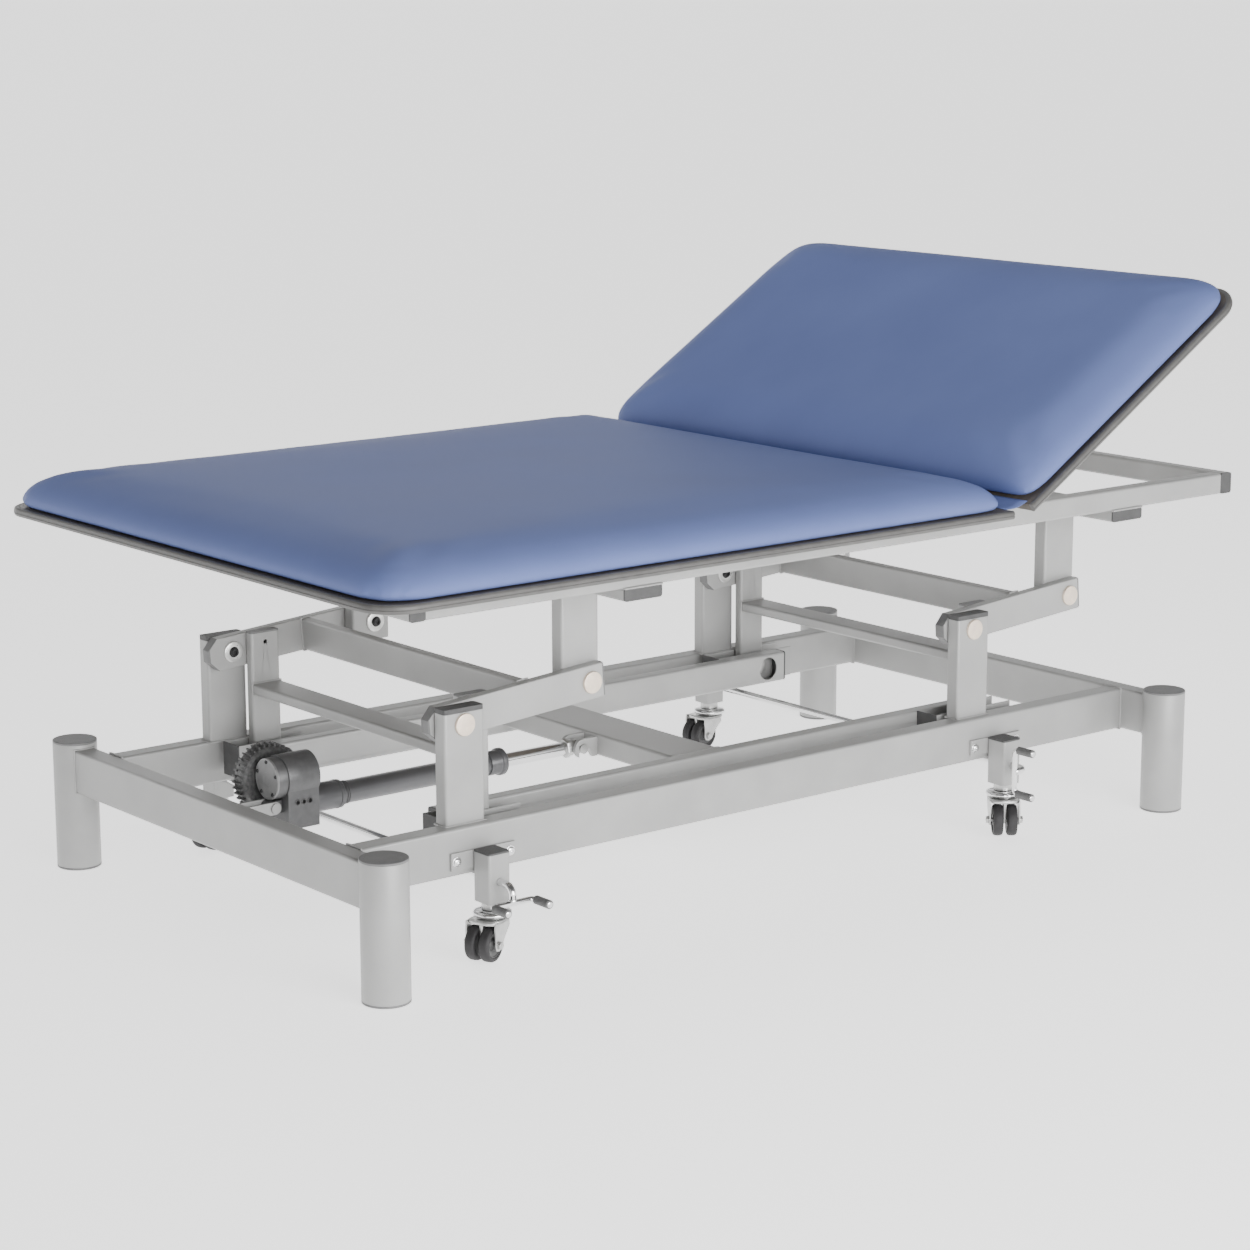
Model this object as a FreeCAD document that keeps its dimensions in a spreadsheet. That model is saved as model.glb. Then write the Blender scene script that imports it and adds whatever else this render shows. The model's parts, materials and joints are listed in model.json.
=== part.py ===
"""Bobath table: electric two-section therapy table, in millimetres, +Z up.

The origin is on the floor below the middle of the table. -X is the foot end, +X is the head end,
and -Y is the side with the caster pedals. The head section is drawn raised, at its rest angle.
"""
import FreeCAD, Part
import math
import os
import Sketcher
from FreeCAD import Placement, Rotation, Vector

DOC = FreeCAD.newDocument("bobath_table")

SIZES = {
    # Base frame
    "base_centre": -34.5,
    "leg_diameter": 80.0,
    "leg_top": 237.0,
    "leg_spacing_x": 1820.0,
    "leg_spacing_y": 987.0,
    "leg_cap_depth": 4.0,
    "leg_foot_depth": 4.0,
    "base_tube_width": 40.0,
    "base_tube_depth": 80.0,
    "base_tube_bottom": 145.0,
    "rail_half_span": 400.0,
    "tube_wall": 3.0,
    "tube_corner": 5.0,
    "cap_lip": 3.0,
    "plug_depth": 9.0,
    "plug_play": 0.2,
    # Pivot posts and the pivots on them
    "post_width": 80.0,
    "post_depth": 30.0,
    "post_setback": 18.0,
    "post_cap_depth": 8.0,
    "foot_pivot_x": -705.5,
    "pivot_spacing": 1171.0,
    "pivot_height": 392.5,
    "lower_pivot_height": 197.0,
    "post_over_pivot": 28.5,
    "pivot_bolt": 20.0,
    "pivot_head": 38.0,
    "pivot_head_depth": 5.0,
    "washer_depth": 4.0,
    "screw_head": 16.0,
    "screw_head_depth": 5.0,
    "socket_across": 8.0,
    "side_play": 1.0,
    "washer_play": 0.3,
    "running_play": 0.05,
    # Arm frames
    "arm_depth": 60.0,
    "arm_width": 20.0,
    "arm_length": 290.0,
    "arm_tail": 50.0,
    "arm_tip": 27.0,
    "arm_chamfer": 19.0,
    "arm_round": 2.0,
    "lift_angle": 4.5,
    "lever_setback": 57.0,
    "lever_over_pivot": 34.5,
    "lever_foot": 48.0,
    "lever_hole": 8.0,
    "arm_cross_at": 160.0,
    "lever_cross_drop": 70.5,
    # Push frame
    "bar_depth": 60.0,
    "bar_width": 30.0,
    "bar_inner_y": 259.0,
    "bar_foot_overhang": 46.0,
    "bar_head_overhang": 46.0,
    "bar_recess": 46.0,
    "fork_width": 50.0,
    "fork_foot_tail": 78.0,
    "fork_head_tail": 110.0,
    "fork_front": 88.0,
    "lever_pin": 16.0,
    "lever_pin_head": 26.0,
    "lever_pin_head_depth": 5.0,
    "push_tube_at": 486.0,
    "push_tube_width": 110.0,
    "push_tube_depth": 40.0,
    "push_tube_rise": 18.0,
    # Actuator
    "actuator_y": -20.0,
    "actuator_over_pivot": 6.0,
    "rear_pin_setback": 90.0,
    "link_pin": 12.0,
    "lug_radius": 11.0,
    "lug_width": 24.0,
    "ear_thickness": 5.0,
    "motor_diameter": 72.0,
    "motor_length": 68.0,
    "motor_rise": 49.0,
    "motor_plate_depth": 4.0,
    "motor_screw": 6.0,
    "motor_screw_depth": 1.5,
    "motor_screw_count": 5.0,
    "motor_start": -2.0,
    "gearbox_start": 16.0,
    "gearbox_length": 62.0,
    "gearbox_width": 66.0,
    "gearbox_bottom": 38.0,
    "control_socket": 8.0,
    "control_socket_depth": 9.0,
    "control_socket_count": 3.0,
    "drum_diameter": 124.0,
    "drum_width": 36.0,
    "drum_start": 39.2,
    "drum_rise": 35.0,
    "drum_at": 30.0,
    "rib_depth": 5.0,
    "rib_thickness": 3.0,
    "rib_count": 36.0,
    "sleeve_diameter": 50.0,
    "sleeve_end": 140.0,
    "outer_tube": 40.0,
    "outer_tube_end": 490.0,
    "collar_diameter": 50.0,
    "collar_length": 35.0,
    "rod_diameter": 25.0,
    "rod_start": 280.0,
    "eye_reach": 33.0,
    "eye_radius": 13.0,
    "eye_width": 14.0,
    "eye_neck": 18.0,
    "eye_spacer": 19.0,
    "clevis_thickness": 8.0,
    "clevis_nose": 36.0,
    "slot_back": 9.0,
    "slot_roof": 8.0,
    "slot_front": 22.0,
    # Top frame
    "upper_post_width": 80.0,
    "upper_post_depth": 30.0,
    "upper_post_below": 34.0,
    "upper_post_shift": 8.0,
    "lift_tube_bottom": 583.0,
    "lift_tube_depth": 22.0,
    "lift_tube_width": 80.0,
    "top_half_width": 500.0,
    "top_rail_width": 30.0,
    "top_rail_depth": 40.0,
    "top_foot_x": -891.5,
    "top_head_x": 1040.5,
    # Mattress
    "board_thickness": 15.0,
    "foot_end_x": -1040.5,
    "mattress_half_width": 606.0,
    "trim_width": 10.0,
    "trim_round": 7.0,
    "corner_radius": 140.0,
    "cushion_thickness": 60.0,
    "cushion_inset": 4.0,
    "cushion_round": 46.0,
    "hinge_x": 375.5,
    "hinge_drop": 2.0,
    "foot_fold_gap": 40.0,
    "head_fold_gap": 16.0,
    "fold_lean": 20.0,
    "head_length": 670.0,
    "head_rest_angle": 32.0,
    "head_seat_gap": 0.5,
    # Head hinge
    "hinge_rail_gap": 24.0,
    "hinge_plate": 6.0,
    "hinge_pin": 12.0,
    "hinge_arm_reach": 180.0,
    "hinge_arm_depth": 26.0,
    "hinge_tube_depth": 30.0,
    # Casters
    "caster_foot_x": -686.5,
    "caster_head_x": 506.5,
    "caster_y": 427.0,
    "housing_width": 44.0,
    "housing_bottom": 100.0,
    "housing_height": 84.0,
    "housing_cap": 3.0,
    "plate_length": 130.0,
    "plate_height": 30.0,
    "plate_thickness": 5.0,
    "plate_bolt_span": 109.0,
    "plate_bolt_z": 171.0,
    "plate_bolt_head": 14.0,
    "plate_bolt_depth": 5.0,
    "plate_bolt_bevel": 2.0,
    "pedal_shaft": 13.0,
    "pedal_shaft_z": 137.0,
    "pedal_y": 483.0,
    "pedal_bar_length": 92.0,
    "pedal_bar_width": 16.0,
    "pedal_bar_thickness": 6.0,
    "pedal_peg": 14.0,
    "pedal_peg_length": 46.0,
    "caster_stroke": 16.0,
    "stem_diameter": 36.0,
    "stem_bottom": 88.0,
    "stem_top": 174.0,
    "disc_diameter": 66.0,
    "disc_bottom": 74.0,
    "wheel_diameter": 60.0,
    "wheel_width": 19.0,
    "wheel_gap": 7.0,
    "wheel_height": 36.0,
    "wheel_trail": 30.0,
    "fork_cheek": 3.0,
    "fork_cheek_length": 24.0,
    "wheel_clearance": 2.4,
    "axle_diameter": 8.0,
}

CASTER_HEADING = {
    ("foot", "near"): 205.0,
    ("foot", "far"): 200.0,
    ("head", "near"): 231.0,
    ("head", "far"): 185.0,
}


class Size:
    """A number read from the sheet together with the expression that gives it."""

    def __init__(self, text, number):
        self.text = text
        self.number = number

    def _with(self, sign, other, number):
        return Size("(" + self.text + sign + as_size(other).text + ")", number)

    def __add__(self, other):
        return self._with(" + ", other, self.number + as_size(other).number)

    def __sub__(self, other):
        return self._with(" - ", other, self.number - as_size(other).number)

    def __mul__(self, other):
        return self._with(" * ", other, self.number * as_size(other).number)

    def __truediv__(self, other):
        return self._with(" / ", other, self.number / as_size(other).number)

    def __neg__(self):
        return Size("(0 - " + self.text + ")", -self.number)


def as_size(value):
    if isinstance(value, Size):
        return value
    return Size(repr(float(value)), float(value))


def cosine(angle):
    return Size("cos(" + angle.text + ")", math.cos(math.radians(angle.number)))


def sine(angle):
    return Size("sin(" + angle.text + ")", math.sin(math.radians(angle.number)))


def tangent(angle):
    return Size("tan(" + angle.text + ")", math.tan(math.radians(angle.number)))


class Sheet:
    """The spreadsheet of driving sizes, read as attributes."""

    def __init__(self):
        sheet = DOC.addObject("Spreadsheet::Sheet", "Sizes")
        for row, (name, number) in enumerate(SIZES.items(), start=1):
            sheet.set("A%d" % row, name)
            sheet.set("B%d" % row, str(number))
            sheet.setAlias("B%d" % row, name)
        DOC.recompute()
        for name in SIZES:
            setattr(self, name, Size("Sizes." + name, float(sheet.get(name))))


S = Sheet()

# Directions that a body's own Z axis can take; its X axis stays level wherever it can.
FACING = {
    "+X": Rotation(Vector(0, 1, 0), Vector(0, 0, 1), Vector(1, 0, 0), "ZXY"),
    "-X": Rotation(Vector(0, -1, 0), Vector(0, 0, 1), Vector(-1, 0, 0), "ZXY"),
    "+Y": Rotation(Vector(1, 0, 0), Vector(0, 0, -1), Vector(0, 1, 0), "ZXY"),
    "-Y": Rotation(Vector(1, 0, 0), Vector(0, 0, 1), Vector(0, -1, 0), "ZXY"),
    "+Z": Rotation(),
    "-Z": Rotation(Vector(1, 0, 0), Vector(0, -1, 0), Vector(0, 0, -1), "ZXY"),
}
NODES = {}


def bind(thing, prop, size):
    thing.setExpression(prop, as_size(size).text)


def place(thing, x=0, y=0, z=0, facing="+Z"):
    """Put a piece at a point worked out from the sheet, with its Z axis facing a direction."""
    turn = FACING[facing] if isinstance(facing, str) else facing
    thing.Placement = Placement(Vector(), turn)
    for axis, size in zip("xyz", (x, y, z)):
        bind(thing, "Placement.Base." + axis, size)
    return thing


def block(name, corner, size):
    box = DOC.addObject("Part::Box", name)
    for prop, length in zip(("Length", "Width", "Height"), size):
        bind(box, prop, length)
    return place(box, *corner)


def rod(name, start, facing, diameter, length):
    cylinder = DOC.addObject("Part::Cylinder", name)
    bind(cylinder, "Radius", as_size(diameter) / 2)
    bind(cylinder, "Height", length)
    return place(cylinder, *start, facing=facing)


def cut(base, *tools):
    for tool in tools:
        result = DOC.addObject("Part::Cut", base.Name + "_cut")
        result.Base = base
        result.Tool = tool
        base = result
    return base


def fuse(*pieces):
    result = DOC.addObject("Part::MultiFuse", pieces[0].Name + "_fused")
    result.Shapes = list(pieces)
    result.Refine = True
    return result


def group(name, *pieces):
    compound = DOC.addObject("Part::Compound", name)
    compound.Links = list(pieces)
    return compound


def mirrored(piece):
    """The same piece on the other long side of the table."""
    twin = DOC.addObject("Part::Mirroring", piece.Name + "_far")
    twin.Source = piece
    twin.Normal = Vector(0, 1, 0)
    return twin


def node(label, *pieces):
    thing = pieces[0] if len(pieces) == 1 else group(label + "_set", *pieces)
    thing.Label = label
    NODES[label] = thing


def pair_node(label, *pieces):
    """A node holding pieces of the near side and their mirror images."""
    node(label, *pieces, *[mirrored(piece) for piece in pieces])


def new_sketch(body, plane):
    sketch = body.newObject("Sketcher::SketchObject", body.Name + "_sketch")
    support = [item for item in body.Origin.OriginFeatures if item.Role == plane][0]
    sketch.AttachmentSupport = [(support, "")]
    sketch.MapMode = "FlatFace"
    return sketch


def constrain(sketch, kind, *where, size=None):
    if size is None:
        return sketch.addConstraint(Sketcher.Constraint(kind, *where))
    size = as_size(size)
    index = sketch.addConstraint(Sketcher.Constraint(kind, *where, size.number))
    sketch.setExpression("Constraints[%d]" % index, size.text)
    return index


def draw_polygon(sketch, points):
    """A closed outline whose every corner is placed from the sketch origin."""
    first = sketch.GeometryCount
    points = [(as_size(x), as_size(y)) for x, y in points]
    places = [Vector(x.number, y.number, 0) for x, y in points]
    count = len(points)
    for index in range(count):
        sketch.addGeometry(Part.LineSegment(places[index], places[(index + 1) % count]), False)
    for index, (x, y) in enumerate(points):
        line = first + index
        before = first + (index - 1) % count
        constrain(sketch, "Coincident", before, 2, line, 1)
        if x.number == 0:
            constrain(sketch, "PointOnObject", line, 1, -2)
        else:
            constrain(sketch, "DistanceX", -1, 1, line, 1, size=x)
        if y.number == 0:
            constrain(sketch, "PointOnObject", line, 1, -1)
        else:
            constrain(sketch, "DistanceY", -1, 1, line, 1, size=y)


def draw_round_rectangle(sketch, width, height, radius):
    """A rectangle with round corners, centred on the sketch origin."""
    first = sketch.GeometryCount
    half_w, half_h, r = width.number / 2, height.number / 2, radius.number
    corners = [(1, 1, 0), (-1, 1, 90), (-1, -1, 180), (1, -1, 270)]
    for side_x, side_y, start in corners:
        centre = Vector(side_x * (half_w - r), side_y * (half_h - r), 0)
        circle = Part.Circle(centre, Vector(0, 0, 1), r)
        arc = Part.ArcOfCircle(circle, math.radians(start), math.radians(start + 90))
        sketch.addGeometry(arc, False)
    inner_w, inner_h = half_w - r, half_h - r
    lines = [
        (Vector(inner_w, half_h, 0), Vector(-inner_w, half_h, 0)),
        (Vector(-half_w, inner_h, 0), Vector(-half_w, -inner_h, 0)),
        (Vector(-inner_w, -half_h, 0), Vector(inner_w, -half_h, 0)),
        (Vector(half_w, -inner_h, 0), Vector(half_w, inner_h, 0)),
    ]
    for start, end in lines:
        sketch.addGeometry(Part.LineSegment(start, end), False)
    for index in range(4):
        line = first + 4 + index
        constrain(sketch, "Tangent", first + index, 2, line, 1)
        constrain(sketch, "Tangent", line, 2, first + (index + 1) % 4, 1)
    constrain(sketch, "Horizontal", first + 4)
    constrain(sketch, "Vertical", first + 5)
    constrain(sketch, "Horizontal", first + 6)
    constrain(sketch, "Vertical", first + 7)
    for index in range(1, 4):
        constrain(sketch, "Equal", first, first + index)
    constrain(sketch, "Symmetric", first, 3, first + 2, 3, -1, 1)
    constrain(sketch, "DistanceX", first + 5, 1, first + 7, 1, size=width)
    constrain(sketch, "DistanceY", first + 6, 1, first + 4, 1, size=height)
    constrain(sketch, "Radius", first, size=radius)


def pad(body, sketch, length, both_ways=False, backwards=False):
    feature = body.newObject("PartDesign::Pad", body.Name + "_pad")
    feature.Profile = sketch
    bind(feature, "Length", length)
    feature.Midplane = both_ways
    feature.Reversed = backwards
    sketch.Visibility = False
    return feature


def tube(name, across, tall, length, wall=S.tube_wall, corner=S.tube_corner):
    """A hollow tube with round corners along the body's Z axis."""
    body = DOC.addObject("PartDesign::Body", name)
    sketch = new_sketch(body, "XY_Plane")
    draw_round_rectangle(sketch, across, tall, corner)
    draw_round_rectangle(sketch, across - wall * 2, tall - wall * 2, corner - wall)
    pad(body, sketch, length)
    return body


def end_cap(name, across, tall, lip=S.cap_lip, wall=S.tube_wall, corner=S.tube_corner):
    """A plastic plug: a lip flush with the tube and a stem inside it, facing the body's Z axis."""
    body = DOC.addObject("PartDesign::Body", name)
    lip_sketch = new_sketch(body, "XY_Plane")
    draw_round_rectangle(lip_sketch, across, tall, corner)
    pad(body, lip_sketch, lip)
    stem_sketch = new_sketch(body, "XY_Plane")
    loss = (wall + S.plug_play) * 2
    draw_round_rectangle(stem_sketch, across - loss, tall - loss, corner - wall - S.plug_play)
    pad(body, stem_sketch, S.plug_depth, backwards=True)
    return body


def turned(name, points):
    """A turned piece: half outline of (radius, height) points revolved round the body's Z axis."""
    body = DOC.addObject("PartDesign::Body", name)
    sketch = new_sketch(body, "XZ_Plane")
    draw_polygon(sketch, points)
    feature = body.newObject("PartDesign::Revolution", name + "_turn")
    feature.Profile = sketch
    feature.ReferenceAxis = (sketch, ["V_Axis"])
    feature.Angle = 360.0
    sketch.Visibility = False
    return body


def plate(name, points, thickness):
    """A flat piece: an outline in X and Z, as thick to each side of the body's own XZ plane."""
    body = DOC.addObject("PartDesign::Body", name)
    sketch = new_sketch(body, "XZ_Plane")
    draw_polygon(sketch, points)
    pad(body, sketch, thickness, both_ways=True)
    return body


def round_edges(body, radius, chosen):
    """Fillet the edges of the body so far that the test picks."""
    DOC.recompute()
    tip = body.Tip
    names = ["Edge%d" % number for number, edge in enumerate(tip.Shape.Edges, 1) if chosen(edge)]
    feature = body.newObject("PartDesign::Fillet", body.Name + "_fillet")
    feature.Base = (tip, names)
    bind(feature, "Radius", radius)
    body.Tip = feature
    return body


def along(edge, axis):
    """Whether an edge is straight and runs along one axis."""
    if not isinstance(edge.Curve, Part.Line):
        return False
    return abs(abs(edge.Curve.Direction.dot(axis)) - 1) < 1e-6


def socket_tool(name, start, facing):
    """The hexagon socket of a screw head, as a tool to cut with."""
    prism = DOC.addObject("Part::Prism", name)
    prism.Polygon = 6
    bind(prism, "Circumradius", S.socket_across / 2)
    bind(prism, "Height", S.screw_head_depth)
    return place(prism, *start, facing=facing)


# Places that several pieces share
FOOT_LEGS = S.base_centre - S.leg_spacing_x / 2
HEAD_LEGS = S.base_centre + S.leg_spacing_x / 2
LEG_Y = S.leg_spacing_y / 2
BASE_TUBE_TOP = S.base_tube_bottom + S.base_tube_depth
BASE_TUBE_MID = S.base_tube_bottom + S.base_tube_depth / 2
POST_OUTER = S.rail_half_span - S.post_setback
POST_INNER = POST_OUTER - S.post_depth
ARM_OUTER = POST_INNER - S.side_play
ARM_INNER = ARM_OUTER - S.arm_width
LEVER_INNER = ARM_INNER - S.arm_width
UPPER_POST_OUTER = ARM_INNER - S.side_play
UPPER_POST_INNER = UPPER_POST_OUTER - S.upper_post_depth
PIVOT_X = {"foot": S.foot_pivot_x, "head": S.foot_pivot_x + S.pivot_spacing}
UPPER_X = {end: x + S.arm_length * cosine(S.lift_angle) for end, x in PIVOT_X.items()}
UPPER_Z = S.pivot_height + S.arm_length * sine(S.lift_angle)
LOWER_X = {end: x + S.lever_setback for end, x in PIVOT_X.items()}
LOWER_Z = S.lower_pivot_height
AXIS_Z = LOWER_Z + S.actuator_over_pivot
POST_TOP = S.pivot_height + S.post_over_pivot
TOP_RAIL_BOTTOM = S.lift_tube_bottom + S.lift_tube_depth
TOP_RAIL_TOP = TOP_RAIL_BOTTOM + S.top_rail_depth
HINGE_Z = TOP_RAIL_TOP - S.hinge_drop
HINGE_Y = S.top_half_width - S.top_rail_width - S.hinge_rail_gap
BAR_OUTER = S.bar_inner_y + S.bar_width
REAR_PIN_X = FOOT_LEGS + S.rear_pin_setback
PUSH_FACE_X = LOWER_X["foot"] + S.push_tube_at
EYE_X = PUSH_FACE_X - S.eye_reach
PIVOT_HOLE = S.pivot_bolt + S.running_play * 2
NUT_RADIUS = S.rod_diameter / 2 + S.tube_wall
# How far a cutting tool stands out of what it cuts
OVERCUT = 1.0
CASTER_X = {"foot": S.caster_foot_x, "head": S.caster_head_x}


def build_legs():
    radius = S.leg_diameter / 2
    bore = radius - S.tube_wall
    tube_top = S.leg_top - S.leg_cap_depth
    stub = bore - S.plug_play
    edge = S.leg_cap_depth / 4
    tubes, caps, feet = [], [], []
    for x in (FOOT_LEGS, HEAD_LEGS):
        for y in (-LEG_Y, LEG_Y):
            foot_top = S.leg_foot_depth
            ring = [(bore, foot_top), (radius, foot_top), (radius, tube_top), (bore, tube_top)]
            tubes.append(place(turned("leg_tube", ring), x, y))
            cap = [
                (0, -S.plug_depth), (stub, -S.plug_depth), (stub, 0), (radius, 0),
                (radius, S.leg_cap_depth - edge), (radius - edge, S.leg_cap_depth), (0, S.leg_cap_depth),
            ]
            caps.append(place(turned("leg_cap", cap), x, y, tube_top))
            feet.append(place(turned("leg_foot", cap), x, y, S.leg_foot_depth, facing="-Z"))
    node("leg_tubes", *tubes)
    node("leg_end_caps", *caps, *feet)


def build_base_frame():
    """End tubes coped to the round legs, and side rails butted to the end tubes."""
    ends = []
    for x in (FOOT_LEGS, HEAD_LEGS):
        piece = tube("end_tube", S.base_tube_width, S.base_tube_depth, S.leg_spacing_y)
        place(piece, x, -LEG_Y, BASE_TUBE_MID, facing="+Y")
        legs = [rod("leg_cope", (x, y, 0), "+Z", S.leg_diameter, S.leg_top) for y in (-LEG_Y, LEG_Y)]
        ends.append(cut(piece, *legs))
    node("base_end_tubes", *ends)
    length = S.leg_spacing_x - S.base_tube_width
    rail = tube("side_rail", S.base_tube_width, S.base_tube_depth, length)
    half = S.base_tube_width / 2
    place(rail, FOOT_LEGS + half, -(S.rail_half_span - half), BASE_TUBE_MID, facing="+X")
    pair_node("base_side_rails", rail)


def build_base_posts():
    """Pivot posts on the side rails; returns their caps and bolts."""
    posts, caps, bolts = [], [], []
    post_y = -(POST_OUTER - S.post_depth / 2)
    height = POST_TOP - S.post_cap_depth - BASE_TUBE_TOP
    for end, x in PIVOT_X.items():
        post = place(tube("base_post", S.post_width, S.post_depth, height), x, post_y, BASE_TUBE_TOP)
        hole = rod("post_hole", (x, -POST_OUTER - OVERCUT, S.pivot_height), "+Y", PIVOT_HOLE,
                   S.post_depth + OVERCUT * 2)
        posts.append(cut(post, hole))
        cap = end_cap("base_post_cap", S.post_width, S.post_depth, lip=S.post_cap_depth)
        caps.append(place(cap, x, post_y, POST_TOP - S.post_cap_depth))
        grip = POST_OUTER - ARM_INNER
        bolts.append(pivot_bolt("base_bolt", x, ARM_INNER, S.pivot_height, grip))
    pair_node("base_pivot_posts", *posts)
    return caps, bolts


def pivot_bolt(name, x, inner_y, z, grip):
    """A flat-headed pivot bolt with its washer and socket screw on the inner side of the joint."""
    shank = S.pivot_bolt / 2
    head = S.pivot_head / 2
    screw = S.screw_head / 2
    play = S.washer_play
    back = -S.washer_depth - play
    tip = back - S.screw_head_depth
    bevel = S.pivot_head_depth / 4
    outline = [
        (0, tip), (screw, tip), (screw, back), (head, back), (head, -play), (shank, -play),
        (shank, grip), (head, grip), (head, grip + S.pivot_head_depth - bevel),
        (head - bevel, grip + S.pivot_head_depth), (0, grip + S.pivot_head_depth),
    ]
    body = place(turned(name, outline), x, -inner_y, z, facing="-Y")
    inner_end = inner_y + tip
    return cut(body, socket_tool(name + "_socket", (x, -inner_end, z), "-Y"))


def build_arm_frame(end):
    """One pair of arms with their levers, which the push frame turns together."""
    x = PIVOT_X[end]
    half = S.arm_depth / 2
    lip = S.cap_lip
    tail = -S.arm_tail
    step = S.arm_chamfer
    slant = lip * (math.sqrt(2) - 1)
    tip = S.arm_length + S.arm_tip - lip
    turn = Rotation(Vector(0, -1, 0), S.lift_angle.number)
    arm_y = -(ARM_OUTER - S.arm_width / 2)
    outline = [
        (tail + lip, -half + step - slant), (tail + step + slant, -half), (tip, -half), (tip, half),
        (tail + step + slant, half), (tail + lip, half - step + slant),
    ]
    arm = plate(end + "_arm", outline, S.arm_width)
    round_edges(arm, S.arm_round, lambda edge: along(edge, Vector(1, 0, 0)))
    core_y = S.arm_width - S.tube_wall * 2
    core_z = S.arm_depth - S.tube_wall * 2
    core = block(end + "_arm_core", (tail, -core_y / 2, -core_z / 2),
                 (tip - tail + OVERCUT, core_y, core_z))
    holes = [
        rod(end + "_arm_hole", (at, -S.arm_width, 0), "+Y", PIVOT_HOLE, S.arm_width * 2)
        for at in (as_size(0), S.arm_length)
    ]
    arm = cut(arm, core, *holes)
    place(arm, x, arm_y, S.pivot_height, facing=turn)
    pair_node(end + "_arms", arm)

    nose = [
        (tail, -half + step), (tail + step, -half), (tail + step + slant, -half),
        (tail + lip, -half + step - slant), (tail + lip, half - step + slant),
        (tail + step + slant, half), (tail + step, half), (tail, half - step),
    ]
    tail_cap = plate(end + "_arm_tail_cap", nose, S.arm_width)
    place(tail_cap, x, arm_y, S.pivot_height, facing=turn)
    tip_cap = end_cap(end + "_arm_tip_cap", S.arm_width, S.arm_depth, corner=S.tube_corner)
    tip_x = x + tip * cosine(S.lift_angle)
    tip_z = S.pivot_height + tip * sine(S.lift_angle)
    place(tip_cap, tip_x, arm_y, tip_z, facing=turn * FACING["+X"])
    lever_y = -(ARM_INNER - S.arm_width / 2)
    lever_top = S.pivot_height + S.lever_over_pivot - lip
    lever_cap = end_cap(end + "_lever_cap", S.arm_depth, S.arm_width)
    place(lever_cap, x + S.lever_setback, lever_y, lever_top)
    pair_node(end + "_arm_caps", tail_cap, tip_cap, lever_cap)

    build_levers(end, lever_y, lever_top)
    build_arm_cross_tubes(end, turn)
    upper = pivot_bolt(end + "_upper_bolt", UPPER_X[end], UPPER_POST_INNER, UPPER_Z,
                       ARM_OUTER - UPPER_POST_INNER)
    pair_node(end + "_upper_pivot_bolts", upper)


def build_levers(end, lever_y, lever_top):
    """Flat tubes hanging from the arms, round at the bottom about the lower pivot."""
    mid = LOWER_X[end]
    half = S.arm_depth / 2
    height = lever_top - LOWER_Z
    shank = tube(end + "_lever", S.arm_depth, S.arm_width, height, corner=S.arm_round + S.tube_wall)
    place(shank, mid, lever_y, LOWER_Z)
    boss = rod(end + "_lever_boss", (mid, lever_y - S.arm_width / 2, LOWER_Z), "+Y", S.lever_foot,
               S.arm_width)
    lever = fuse(shank, boss)
    pin_hole = rod(end + "_lever_pin_hole", (mid, lever_y - half, LOWER_Z), "+Y",
                   S.lever_pin + S.running_play * 2, S.arm_depth)
    sight_hole = rod(end + "_lever_hole", (mid, lever_y, lever_top - S.plug_depth - S.lever_hole), "+Y",
                     S.lever_hole, S.arm_width)
    pair_node(end + "_levers", cut(lever, pin_hole, sight_hole))


def build_arm_cross_tubes(end, turn):
    """An upright tube between the arms and a flat one between the levers."""
    x = PIVOT_X[end]
    high = tube(end + "_arm_cross", S.arm_width, S.arm_depth, ARM_INNER * 2)
    high_x = x + S.arm_cross_at * cosine(S.lift_angle)
    high_z = S.pivot_height + S.arm_cross_at * sine(S.lift_angle)
    place(high, high_x, -ARM_INNER, high_z, facing=turn * FACING["+Y"])
    low = tube(end + "_lever_cross", S.arm_depth, S.arm_width, LEVER_INNER * 2)
    place(low, LOWER_X[end], -LEVER_INNER, S.pivot_height - S.lever_cross_drop, facing="+Y")
    node(end + "_arm_cross_tubes", high, low)


def build_push_frame():
    """Two bars joining the levers of both arm frames, with the tube that the rod pushes."""
    length = S.pivot_spacing + S.bar_foot_overhang + S.bar_head_overhang - S.cap_lip * 2
    start = LOWER_X["foot"] - S.bar_foot_overhang + S.cap_lip
    bar_y = -(BAR_OUTER - S.bar_width / 2)
    bar = place(tube("push_bar", S.bar_width, S.bar_depth, length), start, bar_y, LOWER_Z, facing="+X")
    tools = []
    for end, x in LOWER_X.items():
        tools.append(rod("bar_recess", (x, -S.bar_inner_y + OVERCUT, LOWER_Z), "-Y", S.bar_recess,
                         S.bar_width / 2))
        tools.append(rod("bar_pin_hole", (x, -S.bar_inner_y, LOWER_Z), "-Y", S.lever_pin,
                         S.bar_width * 2))
    pair_node("push_bars", cut(bar, *tools))
    caps = []
    for x, facing in ((start, "-X"), (start + length, "+X")):
        cap = end_cap("push_bar_cap", S.bar_width, S.bar_depth)
        caps.append(place(cap, x, bar_y, LOWER_Z, facing=facing))
    forks, pins = [], []
    for end, x in LOWER_X.items():
        tail = S.fork_foot_tail if end == "foot" else S.fork_head_tail
        fork, cap = lever_fork(end, x, tail)
        forks.append(fork)
        caps.append(cap)
        pins.append(lever_pin(end, x))
    pair_node("lever_forks", *forks)
    pair_node("push_frame_caps", *caps)
    pair_node("lever_pivot_bolts", *pins)
    build_push_tube()


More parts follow.
